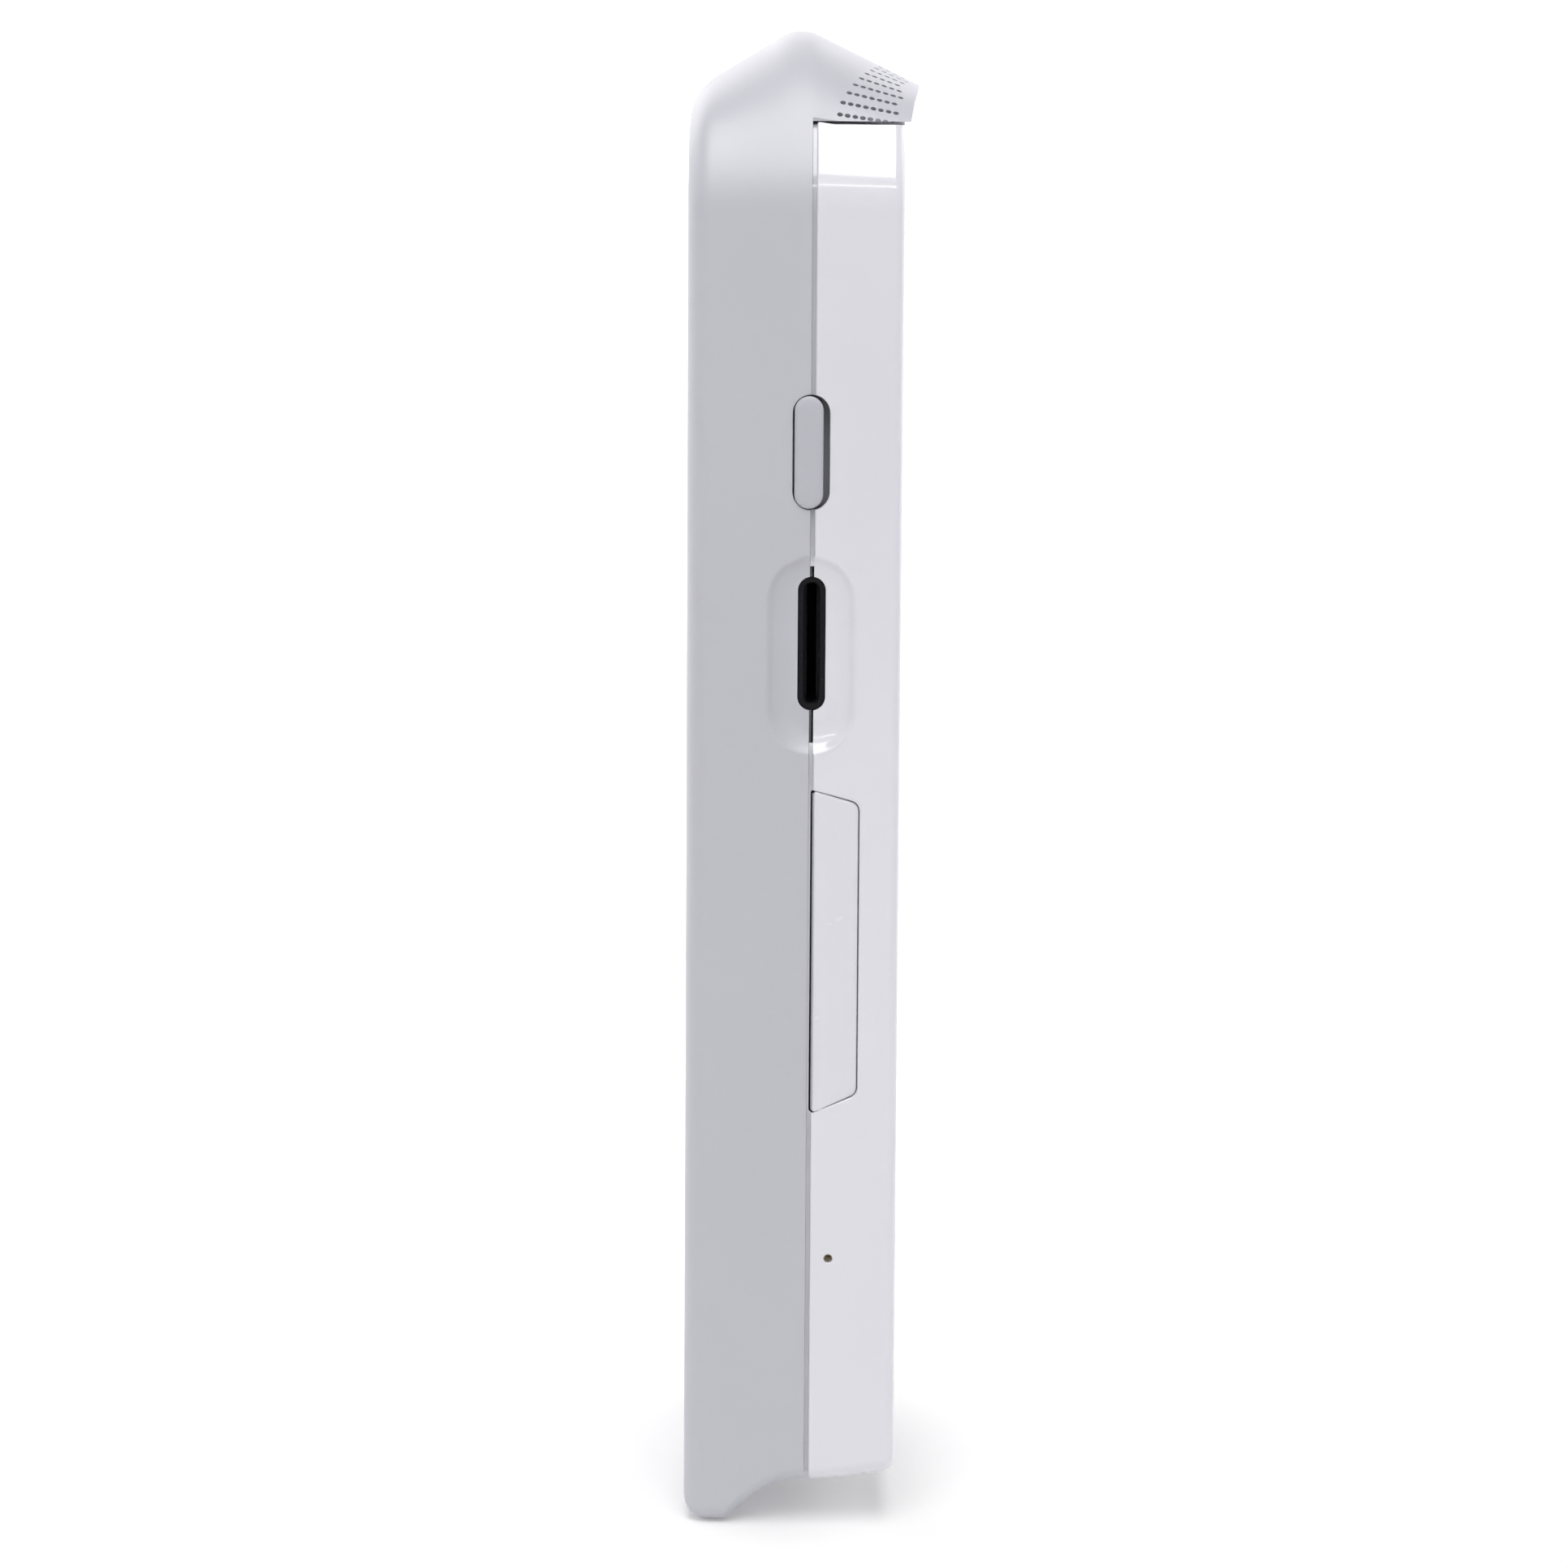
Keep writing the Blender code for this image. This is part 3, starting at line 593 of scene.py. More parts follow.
def perforation_tree():
    """Pins for the holes: a grid of rows round the arch and steps along t, bent onto the top."""
    tree, given = new_tree("perforations", Rows="Int", Holes="Int", Row_Step="Float", Hole_Step="Float",
                           Hole_Radius="Float", Inner="Float", Outer="Float", Material="Material")

    def calc(operation, *values):
        return sum_of(tree, operation, *values)

    grid = add(tree, "GeometryNodeMeshGrid", Vertices_X=given["Rows"], Vertices_Y=given["Holes"])
    run = [calc("MULTIPLY", calc("SUBTRACT", given[count], 1.0), given[step])
           for count, step in (("Rows", "Row Step"), ("Holes", "Hole Step"))]
    feed(grid, Size_X=run[0], Size_Y=run[1])
    spot = add(tree, "GeometryNodeInputPosition").outputs["Position"]
    split = add(tree, "ShaderNodeSeparateXYZ", Vector=spot)
    sine, cosine = calc("SINE", split.outputs["X"]), calc("COSINE", split.outputs["X"])
    across = calc("MULTIPLY", sine, half_width(16.5))

    def bowed(half, height):
        share = calc("POWER", calc("DIVIDE", across, half), 2.0)
        return calc("MULTIPLY", calc("SUBTRACT", 1.0, share), height)

    start = calc("ADD", calc("MAXIMUM", bowed(GRILLE_HALF, GRILLE_BOW), 0.0), GRILLE_REAR + FIRST_HOLE)
    depth = calc("ADD", calc("ADD", split.outputs["Y"], calc("MULTIPLY", run[1], 0.5)), start)
    drop = calc("MULTIPLY", calc("SUBTRACT", depth, CREST_FRONT), FRONT_FALL)
    crown = calc("ADD", calc("MULTIPLY", cosine, CROWN), SPRING)
    up = calc("SUBTRACT", crown, calc("MULTIPLY", drop, calc("MULTIPLY", cosine, cosine)))
    reach = calc("ADD", bowed(CANOPY_HALF, CANOPY_BOW), CANOPY_SIDE_REACH - LIP_MARGIN)
    aside = calc("ABSOLUTE", across)
    within, outside = calc("LESS_THAN", aside, given["Inner"]), calc("GREATER_THAN", aside, given["Outer"])
    keep = add(tree, "GeometryNodeDeleteGeometry", domain="POINT", Geometry=grid.outputs["Mesh"],
               Selection=calc("ADD", calc("GREATER_THAN", depth, reach), calc("ADD", within, outside)))
    tilt = add(tree, "ShaderNodeCombineXYZ", X=calc("MULTIPLY", sine, CROWN),
               Z=calc("MULTIPLY", cosine, HALF_WIDTH))
    hold = tree.nodes.new("GeometryNodeCaptureAttribute")
    hold.capture_items.new("VECTOR", "Lean")
    feed(hold, Geometry=keep.outputs["Geometry"], Lean=tilt.outputs["Vector"])
    goal = add(tree, "ShaderNodeCombineXYZ", X=calc("MULTIPLY", across, MM),
               Y=calc("ADD", calc("MULTIPLY", depth, -MM), WALL_Y),
               Z=calc("ADD", calc("MULTIPLY", up, MM), FOOT_Z))
    bend = add(tree, "GeometryNodeSetPosition", Geometry=hold.outputs["Geometry"],
               Position=goal.outputs["Vector"])
    lean = add(tree, "FunctionNodeAlignRotationToVector", Vector=hold.outputs["Lean"])
    pin = add(tree, "GeometryNodeMeshCylinder", Vertices=16, Depth=5.0 * MM,
              Radius=calc("MULTIPLY", given["Hole Radius"], MM))
    copies = add(tree, "GeometryNodeInstanceOnPoints", Points=bend.outputs["Geometry"],
                 Instance=pin.outputs["Mesh"], Rotation=lean.outputs["Rotation"])
    return finish_tree(tree, given, copies.outputs["Instances"])


PERFORATIONS = perforation_tree()


def hole_pins(name, inner, outer):
    """The pins whose distance from the middle is between inner and outer."""
    return grown(name, PERFORATIONS, {
        "Rows": 23, "Holes": 8, "Row Step": ROW_STEP, "Hole Step": HOLE_STEP, "Hole Radius": HOLE_RADIUS,
        "Inner": inner, "Outer": outer, "Material": shell_grey})


def grille_field(over, under, level, steps=48):
    across = [GRILLE_HALF * (2 * k / steps - 1) for k in range(steps + 1)]
    rows = [[], [], [], []]
    for x in across:
        start, end = GRILLE_REAR + GRILLE_BOW * (1 - (x / GRILLE_HALF) ** 2), canopy_reach(x) - 1.0
        for k, row in enumerate(rows):
            row.append(start + (end - start) * k / 3)
    return arched_rings(across, rows, over, under, level)


grille_opening = skin("grille_opening", grille_field(1.0, 3.0, 0.0))
combine(rear_case, "DIFFERENCE", [grille_opening, hole_pins("side_holes", GRILLE_HALF, CANOPY_HALF)])
smooth(rear_case, shell_grey)
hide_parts("rear_shell")
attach(rear_case, "unit")

grille = skin("grille", grille_field(0.0, 1.2, CANOPY_LEVEL))
combine(grille, "DIFFERENCE", [hole_pins("grille_holes", -1.0, GRILLE_HALF)])
smooth(grille, shell_grey)
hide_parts("speaker_grille")
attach(grille, "unit")


# ==== Front shell =========================================================
# The moulded front half, in glossy near-white plastic. It slips under the canopy and
# is closed against the rear shell with a groove between them. It carries the black
# panel, the bell button, the port cover's pocket and the reset pinhole.

shell_white = plastic("shell_white", (0.700, 0.695, 0.745), (0.735, 0.730, 0.775), (0.12, 0.18),
                      (9000.0, 0.05), (260.0, 0.05), dust=0.03, coat=0.8)

FRONT_EDGE = PARTING + GROOVE / 2
GAP = 0.3
FASCIA, FASCIA_SIZE = (0.0, 93.0), (30.0, 58.0)
CAMERA, PIR, BUTTON, MICROPHONE = (0.0, 107.0), (0.0, 79.0), (0.0, 36.0), (0.0, 57.5)
COVER_LOW, COVER_HIGH, COVER_REACH, COVER_NEAR = 39.7, 70.35, 16.15, 11.95
PORT, PINHOLE = (13.9, 55.0), (13.6, 25.75)
TRUNNION = (-23.2, 12.55)


def cover_outline(grow, hinge_room=0.0):
    """The port cover: straight along the joint, slanted ends, a rounded free edge."""
    low_end, high_end = COVER_LOW - grow, COVER_HIGH + grow
    near, far = COVER_NEAR - grow - hinge_room, COVER_REACH + grow
    corners = [(near, low_end), (far, low_end + 1.9), (far, high_end - 1.25), (near, high_end)]
    return rounded(corners, (0.25, 1.0, 1.0, 0.25))


def front_notch(steps=48):
    """The room that the canopy takes out of the front shell."""
    across = spread(CANOPY_HALF + GAP, steps)
    depths = [[t] * (steps + 1) for t in (10.4, 13.0, 16.0, 19.0, 23.0)]
    return skin("front_notch", arched_rings(across, depths, 3.0, CANOPY_THICK + GAP, CANOPY_LEVEL - GAP))


def make_front_shell():
    soft = [(FRONT_EDGE + d, s) for d, s in quarter_round(0.22, 4)]
    outer = [(t, body_outline(t, s)) for t, s in soft]
    outer += [(t, body_outline(t, 0.0)) for t in (12.6, 13.4, 14.4, 15.4, 16.6, 17.8)]
    outer += [(DEPTH - t, body_outline(DEPTH - t, s)) for t, s in quarter_round(FRONT_RADIUS, 8)[::-1]]
    shell = skin("front_case", facing_front(outer))
    ends = (EDGE + 0.02, FRONT_EDGE + 0.4)
    tongue = skin("tongue", facing_front([(t, body_outline(PARTING, 0.72)) for t in ends]))
    beside = rectangle((-HALF_WIDTH, SCOOP[1]), (8.0, SCOOP_SIZE[1] - 2.0))
    gap = skin("beside_scoop", facing_front([(10.0, beside), (FRONT_EDGE + 0.02, beside)]))
    combine(shell, "UNION", [combine(tongue, "DIFFERENCE", [gap])])
    inside = [(t, body_outline(t, WALL, WALL + 1.8, 36)) for t in (FRONT_EDGE + 0.1, 14.8, 17.8)]
    throat = [(t, body_outline(PARTING, 1.06, WALL + 1.8, 36)) for t in (10.0, FRONT_EDGE + 0.2)]
    cutters = [skin("hollow", facing_front(inside)), skin("throat", facing_front(throat)), front_notch()]
    flats = [(stadium(FASCIA, FASCIA_SIZE, 0.0, 24), 18.6), (circle(BUTTON, 14.9, 96), 15.0),
             (circle(CAMERA, 8.3), 15.0), (circle(PIR, 8.6), 15.0)]
    for flat, deep in flats:
        cutters.append(skin("front_opening", facing_front([(deep, flat), (23.0, flat)])))
    mouth, socket = stadium(PORT, (4.5, 10.2)), stadium(PORT, (3.9, 9.6))
    port = [(0.05, mouth), (1.9, socket), (3.4, socket)]
    flared = ((-0.4, 0.6), (0.0, 0.5), (0.1, 0.4), (3.2, 0.4))
    pinhole = [(sink, circle(PINHOLE, r, 24)) for sink, r in flared]
    cover_rim = [(-0.5, 0.55), (0.0, 0.32), (0.03, 0.19), (0.10, 0.10), (0.24, 0.06), (1.68, 0.06)]
    cutters.append(skin("cover_pocket", facing_side([(s, cover_outline(g, 0.23)) for s, g in cover_rim])))
    cutters.append(skin("port_opening", facing_side(port)))
    cutters.append(skin("pinhole", facing_side(pinhole)))
    flared = ((16.0, 0.45), (19.85, 0.45), (20.0, 0.7), (20.5, 0.9))
    sound = [(t, circle(MICROPHONE, r, 24)) for t, r in flared]
    cutters.append(skin("sound_hole", facing_front(sound)))
    for ends in ((38.2, 40.0), (70.0, 71.8)):
        cutters.append(skin("trunnion_bore", facing_up([(z, circle(TRUNNION, 0.62, 24)) for z in ends])))
    return combine(shell, "DIFFERENCE", cutters + side_openings())


front_case = make_front_shell()
smooth(front_case, shell_white)
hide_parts("front_shell")
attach(front_case, "unit")


# ==== Gasket ==============================================================
# A moulded rubber gasket in the joint between the shells, open where the canopy
# covers it, with gaps for the power key and the card slot.

rubber = plastic("seal_rubber", (0.115, 0.114, 0.120), (0.150, 0.149, 0.156), (0.62, 0.78), (4000.0, 0.5),
                 (90.0, 0.1), dust=0.2)


def make_gasket():
    low_t, high_t = PARTING - 0.9, PARTING + 0.05
    wall = [(low_t, 1.1), (high_t - 0.2, 1.1), (high_t, 1.3), (high_t, 1.9), (high_t - 0.2, 2.1),
            (low_t, 2.1)]
    band = skin("gasket", facing_front([(t, body_outline(PARTING, s)) for t, s in wall]), closed=True)
    above = rectangle((0.0, SPRING + 24.0), (90.0, 40.0))
    over = skin("above_seal", facing_front([(9.0, above), (13.0, above)]))
    return combine(band, "DIFFERENCE", [over] + key_and_slot_openings())


gasket = make_gasket()
smooth(gasket, rubber)
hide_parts("body_seal")
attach(gasket, "unit")


# ==== Power key ===========================================================
# A narrow key, a little darker than the rear shell, straddling the joint. Its crowned
# cap stands a little proud of the side, and its flange keeps it in the case.

KEY_SIZE, KEY_FLANGE = (2.68, 10.35), (4.8, 12.0)
KEY_CAP = (KEY[0] - 0.22, KEY[1])       # the cap sits towards the wall in its opening
KEY_DEPTH, FLANGE_THICK = 2.68, 0.7


def make_power_key():
    crown = [(-0.40, -0.95), (-0.395, -0.60), (-0.37, -0.34), (-0.31, -0.15), (-0.20, -0.03), (-0.08, 0.0)]
    layers = [(sink, stadium(KEY_CAP, KEY_SIZE, grow, 16)) for sink, grow in crown]
    layers.append((KEY_DEPTH, stadium(KEY_CAP, KEY_SIZE, 0.0, 16)))
    layers += [(KEY_DEPTH + down, stadium(KEY, KEY_FLANGE, 0.0, 16)) for down in (0.0, FLANGE_THICK)]
    return skin("power_key_cap", facing_side(layers))


key_grey = plastic("key_grey", (0.455, 0.452, 0.500), (0.480, 0.478, 0.525), (0.44, 0.54), (9000.0, 0.3),
                   (120.0, 0.05))
power_key = make_power_key()
smooth(power_key, key_grey)
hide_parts("power_key")
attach(power_key, "power_key")


# ==== Memory card slot ====================================================
# A black moulded bezel set into the finger scoop, its mouth eased to lead the card
# in, and behind it the pressed steel card socket soldered to the board, given black
# plastic as painted shade so that the inside of the slot reads dark.

black_gloss = plastic("black_gloss", (0.006, 0.006, 0.008), (0.009, 0.009, 0.012), (0.10, 0.16),
                      (7000.0, 0.03), (300.0, 0.03), dust=0.03, specular=0.35)
black_plastic = plastic("black_plastic", (0.006, 0.006, 0.008), (0.010, 0.010, 0.012), (0.42, 0.56),
                        (6000.0, 0.6), (150.0, 0.08), dust=0.05, specular=0.16)


def make_slot_bezel():
    outer, mouth = (2.54, 12.44), (1.3, 11.3)
    wall = [(-22.7, outer, -0.06), (-22.64, outer, 0.0), (-20.9, outer, 0.0), (-20.9, mouth, 0.0),
            (-22.5, mouth, 0.0), (-22.7, mouth, 0.16)]
    rings = [[(x, t, z) for t, z in stadium(SLOT, size, grow, 16)] for x, size, grow in wall]
    return skin("slot_bezel", rings, closed=True)


slot_bezel = make_slot_bezel()
smooth(slot_bezel, black_plastic)
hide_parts("card_slot_bezel")
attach(slot_bezel, "unit")


# ==== Charging port and its cover =========================================
# A pale moulded flap closes the charging port. It turns on two stub pins by the joint,
# where its edge is rolled. The port is a drawn steel shell round a black tongue with
# brass contacts.

COVER_DEPTH = 1.18


def make_port_cover():
    ease = [(0.0, -0.50), (0.01, -0.30), (0.04, -0.16), (0.12, -0.05), (0.26, 0.0), (COVER_DEPTH - 0.1, 0.0),
            (COVER_DEPTH, -0.1)]
    cover = skin("port_flap", facing_side([(sink, cover_outline(g)) for sink, g in ease]))
    rolled_edge, stub = (0.74, 32), (0.35, 24)
    rods = ((rolled_edge, (COVER_LOW + 0.3, COVER_HIGH - 0.3)), (stub, (38.7, 40.4)), (stub, (69.6, 71.3)))
    return combine(cover, "UNION", [
        skin("hinge_rod", facing_up([(z, circle(TRUNNION, *rod)) for z in ends])) for rod, ends in rods])


flap_white = plastic("flap_white", (0.690, 0.685, 0.735), (0.725, 0.720, 0.765), (0.20, 0.28), (9000.0, 0.06),
                     (260.0, 0.06), dust=0.04, coat=0.25)
port_cover = make_port_cover()
smooth(port_cover, flap_white)
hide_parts("port_cover")
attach(port_cover, "port_cover")


# ---- the port behind the cover ----


def worked_metal_group():
    """Grain drawn out along an axis where that axis has a low share, and patches that are worn duller."""
    bright, dull = (0.6, 0.6, 0.6, 1.0), (0.5, 0.5, 0.5, 1.0)
    group, given = node_group(
        "worked_metal",
        {"Colour": bright, "Worn Colour": dull, "Brushed": (1.0, 1.0, 1.0), "Grain Scale": 6000.0,
         "Grain Height": 0.15, "Low Gloss": 0.2, "High Gloss": 0.4},
        {"Colour": "Color", "Roughness": "Float", "Normal": "Vector"})
    place = add(group, "ShaderNodeTexCoord").outputs["Object"]
    drawn = add(group, "ShaderNodeMapping", Vector=place, Scale=given["Brushed"])
    lines = add(group, "ShaderNodeTexNoise", Vector=drawn.outputs["Vector"], Scale=given["Grain Scale"])
    worn = add(group, "ShaderNodeTexNoise", Vector=place, Scale=260.0)
    rough = add(group, "ShaderNodeMapRange", Value=worn.outputs["Fac"], To_Min=given["Low Gloss"],
                To_Max=given["High Gloss"])
    shade = add(group, "ShaderNodeMix", data_type="RGBA", Factor=worn.outputs["Fac"], A=given["Colour"],
                B=given["Worn Colour"])
    fine = add(group, "ShaderNodeBump", Distance=0.00002, Strength=given["Grain Height"],
               Height=lines.outputs["Fac"])
    add(group, "NodeGroupOutput", Colour=shade.outputs["Result"], Roughness=rough.outputs["Result"],
        Normal=fine.outputs["Normal"])
    return group


WORKED = worked_metal_group()


def metal(name, colour, gloss, grain=(6000.0, 0.15), brushed=(1.0, 1.0, 1.0)):
    material, tree, shader = new_material(name, Metallic=1.0)
    surface = add(tree, "ShaderNodeGroup", node_tree=WORKED, Colour=(*colour, 1.0),
                  Worn_Colour=(*(0.8 * c for c in colour), 1.0), Brushed=brushed, Grain_Scale=grain[0],
                  Grain_Height=grain[1], Low_Gloss=gloss[0], High_Gloss=gloss[1])
    feed(shader, Roughness=surface.outputs["Roughness"], Base_Color=surface.outputs["Colour"],
         Normal=surface.outputs["Normal"])
    return material


steel = metal("steel", (0.60, 0.60, 0.61), (0.22, 0.38), brushed=(0.1, 1.0, 1.0))
brass = metal("brass", (0.78, 0.58, 0.26), (0.20, 0.35))


def repaint(material, *nodes):
    """Gives CAD nodes that keep their own shape a worked-out finish."""
    for node in nodes:
        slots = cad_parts[node].data.materials
        slots.clear()
        slots.append(material)


def drawn_shell(name, inner, outer, low_x, high_x, ease=0.12):
    """A thin drawn tube along x with a rolled mouth at low_x."""
    wall = [(low_x + ease, outer, 0.0), (high_x, outer, 0.0), (high_x, inner, 0.0),
            (low_x + ease, inner, 0.0), (low_x, inner, ease * 0.6), (low_x, outer, -ease * 0.6)]
    rings = [[(x, t, z) for t, z in stadium(PORT, size, grow, 16)] for x, size, grow in wall]
    return skin(name, rings, closed=True)


port_shell = drawn_shell("port_tube", (2.6, 8.4), (3.2, 9.0), -21.9, -15.6)
smooth(port_shell, steel)
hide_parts("port_shell")
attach(port_shell, "unit")


def facing_side_flat(layers):
    return [[(x, t, z) for t, z in flat] for x, flat in layers]


def make_port_tongue():
    blade, thin = rounded(rectangle(PORT, (0.7, 6.4)), 0.2, 4), rounded(rectangle(PORT, (0.5, 6.2)), 0.15, 4)
    tongue = skin("tongue_body", facing_side_flat([(-21.2, thin), (-21.05, blade), (-16.9, blade)]))
    root = stadium(PORT, (2.0, 7.8))
    return combine(tongue, "UNION", [skin("tongue_root", facing_side_flat([(-17.2, root), (-16.0, root)]))])


port_tongue = make_port_tongue()
smooth(port_tongue, black_plastic)
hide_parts("port_tongue")
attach(port_tongue, "unit")


def contact_tree():
    """A row of flat contact strips: copies of a block along a line."""
    tree, given = new_tree("contact_row", Count="Int", Start="Vector", Step="Vector", Size="Vector",
                           Material="Material")
    line = add(tree, "GeometryNodeMeshLine", Count=given["Count"], Start_Location=given["Start"],
               Offset=given["Step"])
    block = add(tree, "GeometryNodeMeshCube", Size=given["Size"])
    copies = add(tree, "GeometryNodeInstanceOnPoints", Points=line.outputs["Mesh"],
                 Instance=block.outputs["Mesh"])
    return finish_tree(tree, given, copies.outputs["Instances"])


CONTACTS = contact_tree()
for side, name in ((-1, "front"), (1, "rear")):
    strips = grown(f"port_contacts_{name}", CONTACTS, {
        "Count": 12, "Start": at(-19.2, PORT[0] - side * 0.35, PORT[1] - 2.75), "Step": (0.0, 0.0, 0.5 * MM),
        "Size": (3.2 * MM, 0.05 * MM, 0.28 * MM), "Material": brass})
    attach(strips, "unit")

# painted shade: the steel card socket is given black plastic so that the slot's inside reads dark
repaint(black_plastic, "card_socket")


# ==== Reset switch ========================================================
# A small sealed switch behind the pinhole: a black moulded body, and a brass plunger
# that a paper clip pushes.

repaint(black_plastic, "reset_switch")
repaint(brass, "reset_switch_plunger")


# ==== Black panel, camera and lamps =======================================
# A glossy black panel set into the front. In it a satin steel bezel rings the camera
# window, with the ribbed barrel and the coated lens behind it, an infrared lamp on
# each side, and a small window for the light sensor above.

LAMPS = ((-11.2, 107.0), (11.2, 107.0))
SENSOR = (0.0, 118.6)


def turned(name, centre, profile, sides=96, closed=False):
    """A piece turned about an axis through the front: its profile is (radius, t)."""
    rings = [[(x, t, z) for x, z in circle(centre, max(r, 0.01), sides)] for r, t in profile]
    return skin(name, rings, closed)


def make_fascia():
    inset = (FASCIA_SIZE[0] - 0.36, FASCIA_SIZE[1] - 0.36)
    edge = [(18.9, 0.0), (19.85, 0.0), (19.97, -0.03), (20.07, -0.10), (20.13, -0.20), (20.15, -0.34)]
    panel = skin("panel", facing_front([(t, stadium(FASCIA, inset, g, 24)) for t, g in edge]))
    cutters = []
    for centre, radius in ((CAMERA, 8.12), (PIR, 8.42), (LAMPS[0], 1.75), (LAMPS[1], 1.75), (SENSOR, 1.0)):
        bore = [(radius, 18.0), (radius, 20.03), (radius + 0.12, 20.15), (radius + 0.5, 20.53)]
        cutters.append(turned("panel_bore", centre, bore, 64))
    return combine(panel, "DIFFERENCE", cutters)


fascia = make_fascia()


def glass_specks_group():
    """Fine specks on polished glass, as a roughness between two values."""
    group, given = node_group("glass_specks", {"Low": 0.01, "High": 0.03}, {"Roughness": "Float"})
    place = add(group, "ShaderNodeTexCoord").outputs["Object"]
    spot = add(group, "ShaderNodeTexNoise", Vector=place, Scale=900.0)
    vary = add(group, "ShaderNodeMapRange", Value=spot.outputs["Fac"], To_Min=given["Low"],
               To_Max=given["High"])
    add(group, "NodeGroupOutput", Roughness=vary.outputs["Result"])
    return group


SPECKS = glass_specks_group()


def glass(name, tint, roughness, coat_tint, speckle=0.02):
    """Tinted glass with a coating colour that strengthens towards its rim: a painted reflection, the base
    colour mixed towards the coating's colour where the surface turns away from the view.
    """
    material, tree, shader = new_material(name, Transmission_Weight=0.85, IOR=1.5, Coat_Weight=0.15,
                                          Coat_Tint=(*coat_tint, 1.0))
    specks = add(tree, "ShaderNodeGroup", node_tree=SPECKS, Low=roughness, High=roughness + speckle)
    # painted reflection: the rim colour is mixed in by the facing angle, standing in for the coating's
    # coloured reflection
    rim = (*(0.5 * (a + b) for a, b in zip(tint, coat_tint)), 1.0)
    shade = add(tree, "ShaderNodeMix", data_type="RGBA", A=(*tint, 1.0), B=rim,
                Factor=add(tree, "ShaderNodeLayerWeight").outputs["Facing"])
    feed(shader, Roughness=specks.outputs["Roughness"], Base_Color=shade.outputs["Result"])
    return material


window_glass = glass("window_glass", (0.55, 0.56, 0.60), 0.01, (0.9, 0.95, 1.0))
lens_glass = glass("lens_glass", (0.16, 0.10, 0.30), 0.01, (0.55, 0.35, 0.9))
lamp_resin = glass("infrared_lamp", (0.06, 0.02, 0.05), 0.05, (0.6, 0.5, 0.6), 0.08)

bezel_steel = metal("bezel_steel", (0.42, 0.42, 0.43), (0.18, 0.28), (5000.0, 0.2), (1.0, 1.0, 0.15))
bezel = turned("camera_bezel", CAMERA, [
    (8.0, 17.2), (8.0, 20.22), (7.94, 20.33), (7.82, 20.39), (7.6, 20.4), (7.1, 20.38), (6.55, 20.12),
    (6.36, 20.04), (6.3, 19.9), (6.3, 17.2)], closed=True)

window = turned("camera_pane", CAMERA, [(5.9, 19.4), (6.0, 19.48), (6.0, 19.98), (5.9, 20.07), (5.6, 20.1)])

RIB, RIB_RISE = 0.14, 0.42              # each rib inside the barrel steps out and forward by these
steps = []
for k in range(6):
    steps += [(3.9 + RIB * step, 16.4 + RIB_RISE * k) for step in (k, k + 1)]
wall = [(5.2, 16.2), (5.2, 18.9), (5.1, 19.0), (4.9, 19.0)]
barrel = turned("barrel", CAMERA, wall + steps[::-1], 72, closed=True)

bow = [(3.6 * math.cos(a), 18.0 + 0.95 * math.sin(a)) for a in (math.pi / 2 * k / 12 for k in range(13))]
element = turned("front_lens", CAMERA, [(3.5, 17.6), (3.6, 17.7)] + bow, 72)

for centre, name in zip(LAMPS, ("left", "right")):
    lamp = turned(f"lamp_{name}", centre, [
        (1.6, 18.95), (1.6, 19.5), (1.45, 19.72), (1.1, 19.88), (0.6, 19.97), (0.0, 20.0)], 48)
    smooth(lamp, lamp_resin)
    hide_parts(f"infrared_led_{name}")
    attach(lamp, "unit")

pane = turned("sensor_pane", SENSOR, [(0.9, 18.95), (0.9, 20.02), (0.82, 20.1), (0.5, 20.1)], 48)

for piece, finish, node, slot in (
        (fascia, black_gloss, "front_fascia", "black_gloss"), (bezel, bezel_steel, "lens_bezel", "steel"),
        (window, window_glass, "camera_window", "window_glass"),
        (barrel, black_plastic, "lens_barrel", "black_plastic"),
        (element, lens_glass, "lens_element", "lens_glass"),
        (pane, window_glass, "light_sensor_window", "window_glass")):
    smooth(piece, finish)
    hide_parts(node)
    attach(piece, "unit")
repaint(black_plastic, "camera_module")


# ==== Motion sensor =======================================================
# A milky polythene dome, moulded with rings of small facets, over a canned sensor.

FACET_RINGS = 7


def make_sensor_dome():
    profile = [(8.3, 18.2), (8.3, 19.72), (8.22, 19.86), (8.05, 19.95)]
    for k in range(FACET_RINGS, 0, -1):
        outer, inner = 7.9 * k / FACET_RINGS, 7.9 * (k - 1) / FACET_RINGS + 0.12
        rise = [20.33 - 0.36 * (r / 7.9) ** 2 for r in (outer, inner)]
        profile += [(outer, rise[0] - 0.06), (outer - 0.12, rise[0]), (inner + 0.02, rise[1])]
    profile.append((0.0, 20.32))
    return turned("sensor_dome", PIR, profile)


def milky_cells_group():
    """Small cells moulded into a milky surface, as a colour and a normal."""
    pale = (0.8, 0.8, 0.8, 1.0)
    group, given = node_group(
        "milky_cells", {"Colour": pale, "Cell Colour": pale, "Cell Scale": 900.0, "Cell Height": 0.25},
        {"Colour": "Color", "Normal": "Vector"})
    place = add(group, "ShaderNodeTexCoord").outputs["Object"]
    cells = add(group, "ShaderNodeTexVoronoi", Vector=place, Scale=given["Cell Scale"]).outputs["Distance"]
    raised = add(group, "ShaderNodeBump", Distance=0.0001, Strength=given["Cell Height"], Height=cells)
    shade = add(group, "ShaderNodeMix", data_type="RGBA", Factor=cells, A=given["Colour"],
                B=given["Cell Colour"])
    add(group, "NodeGroupOutput", Colour=shade.outputs["Result"], Normal=raised.outputs["Normal"])
    return group


CELLS = milky_cells_group()


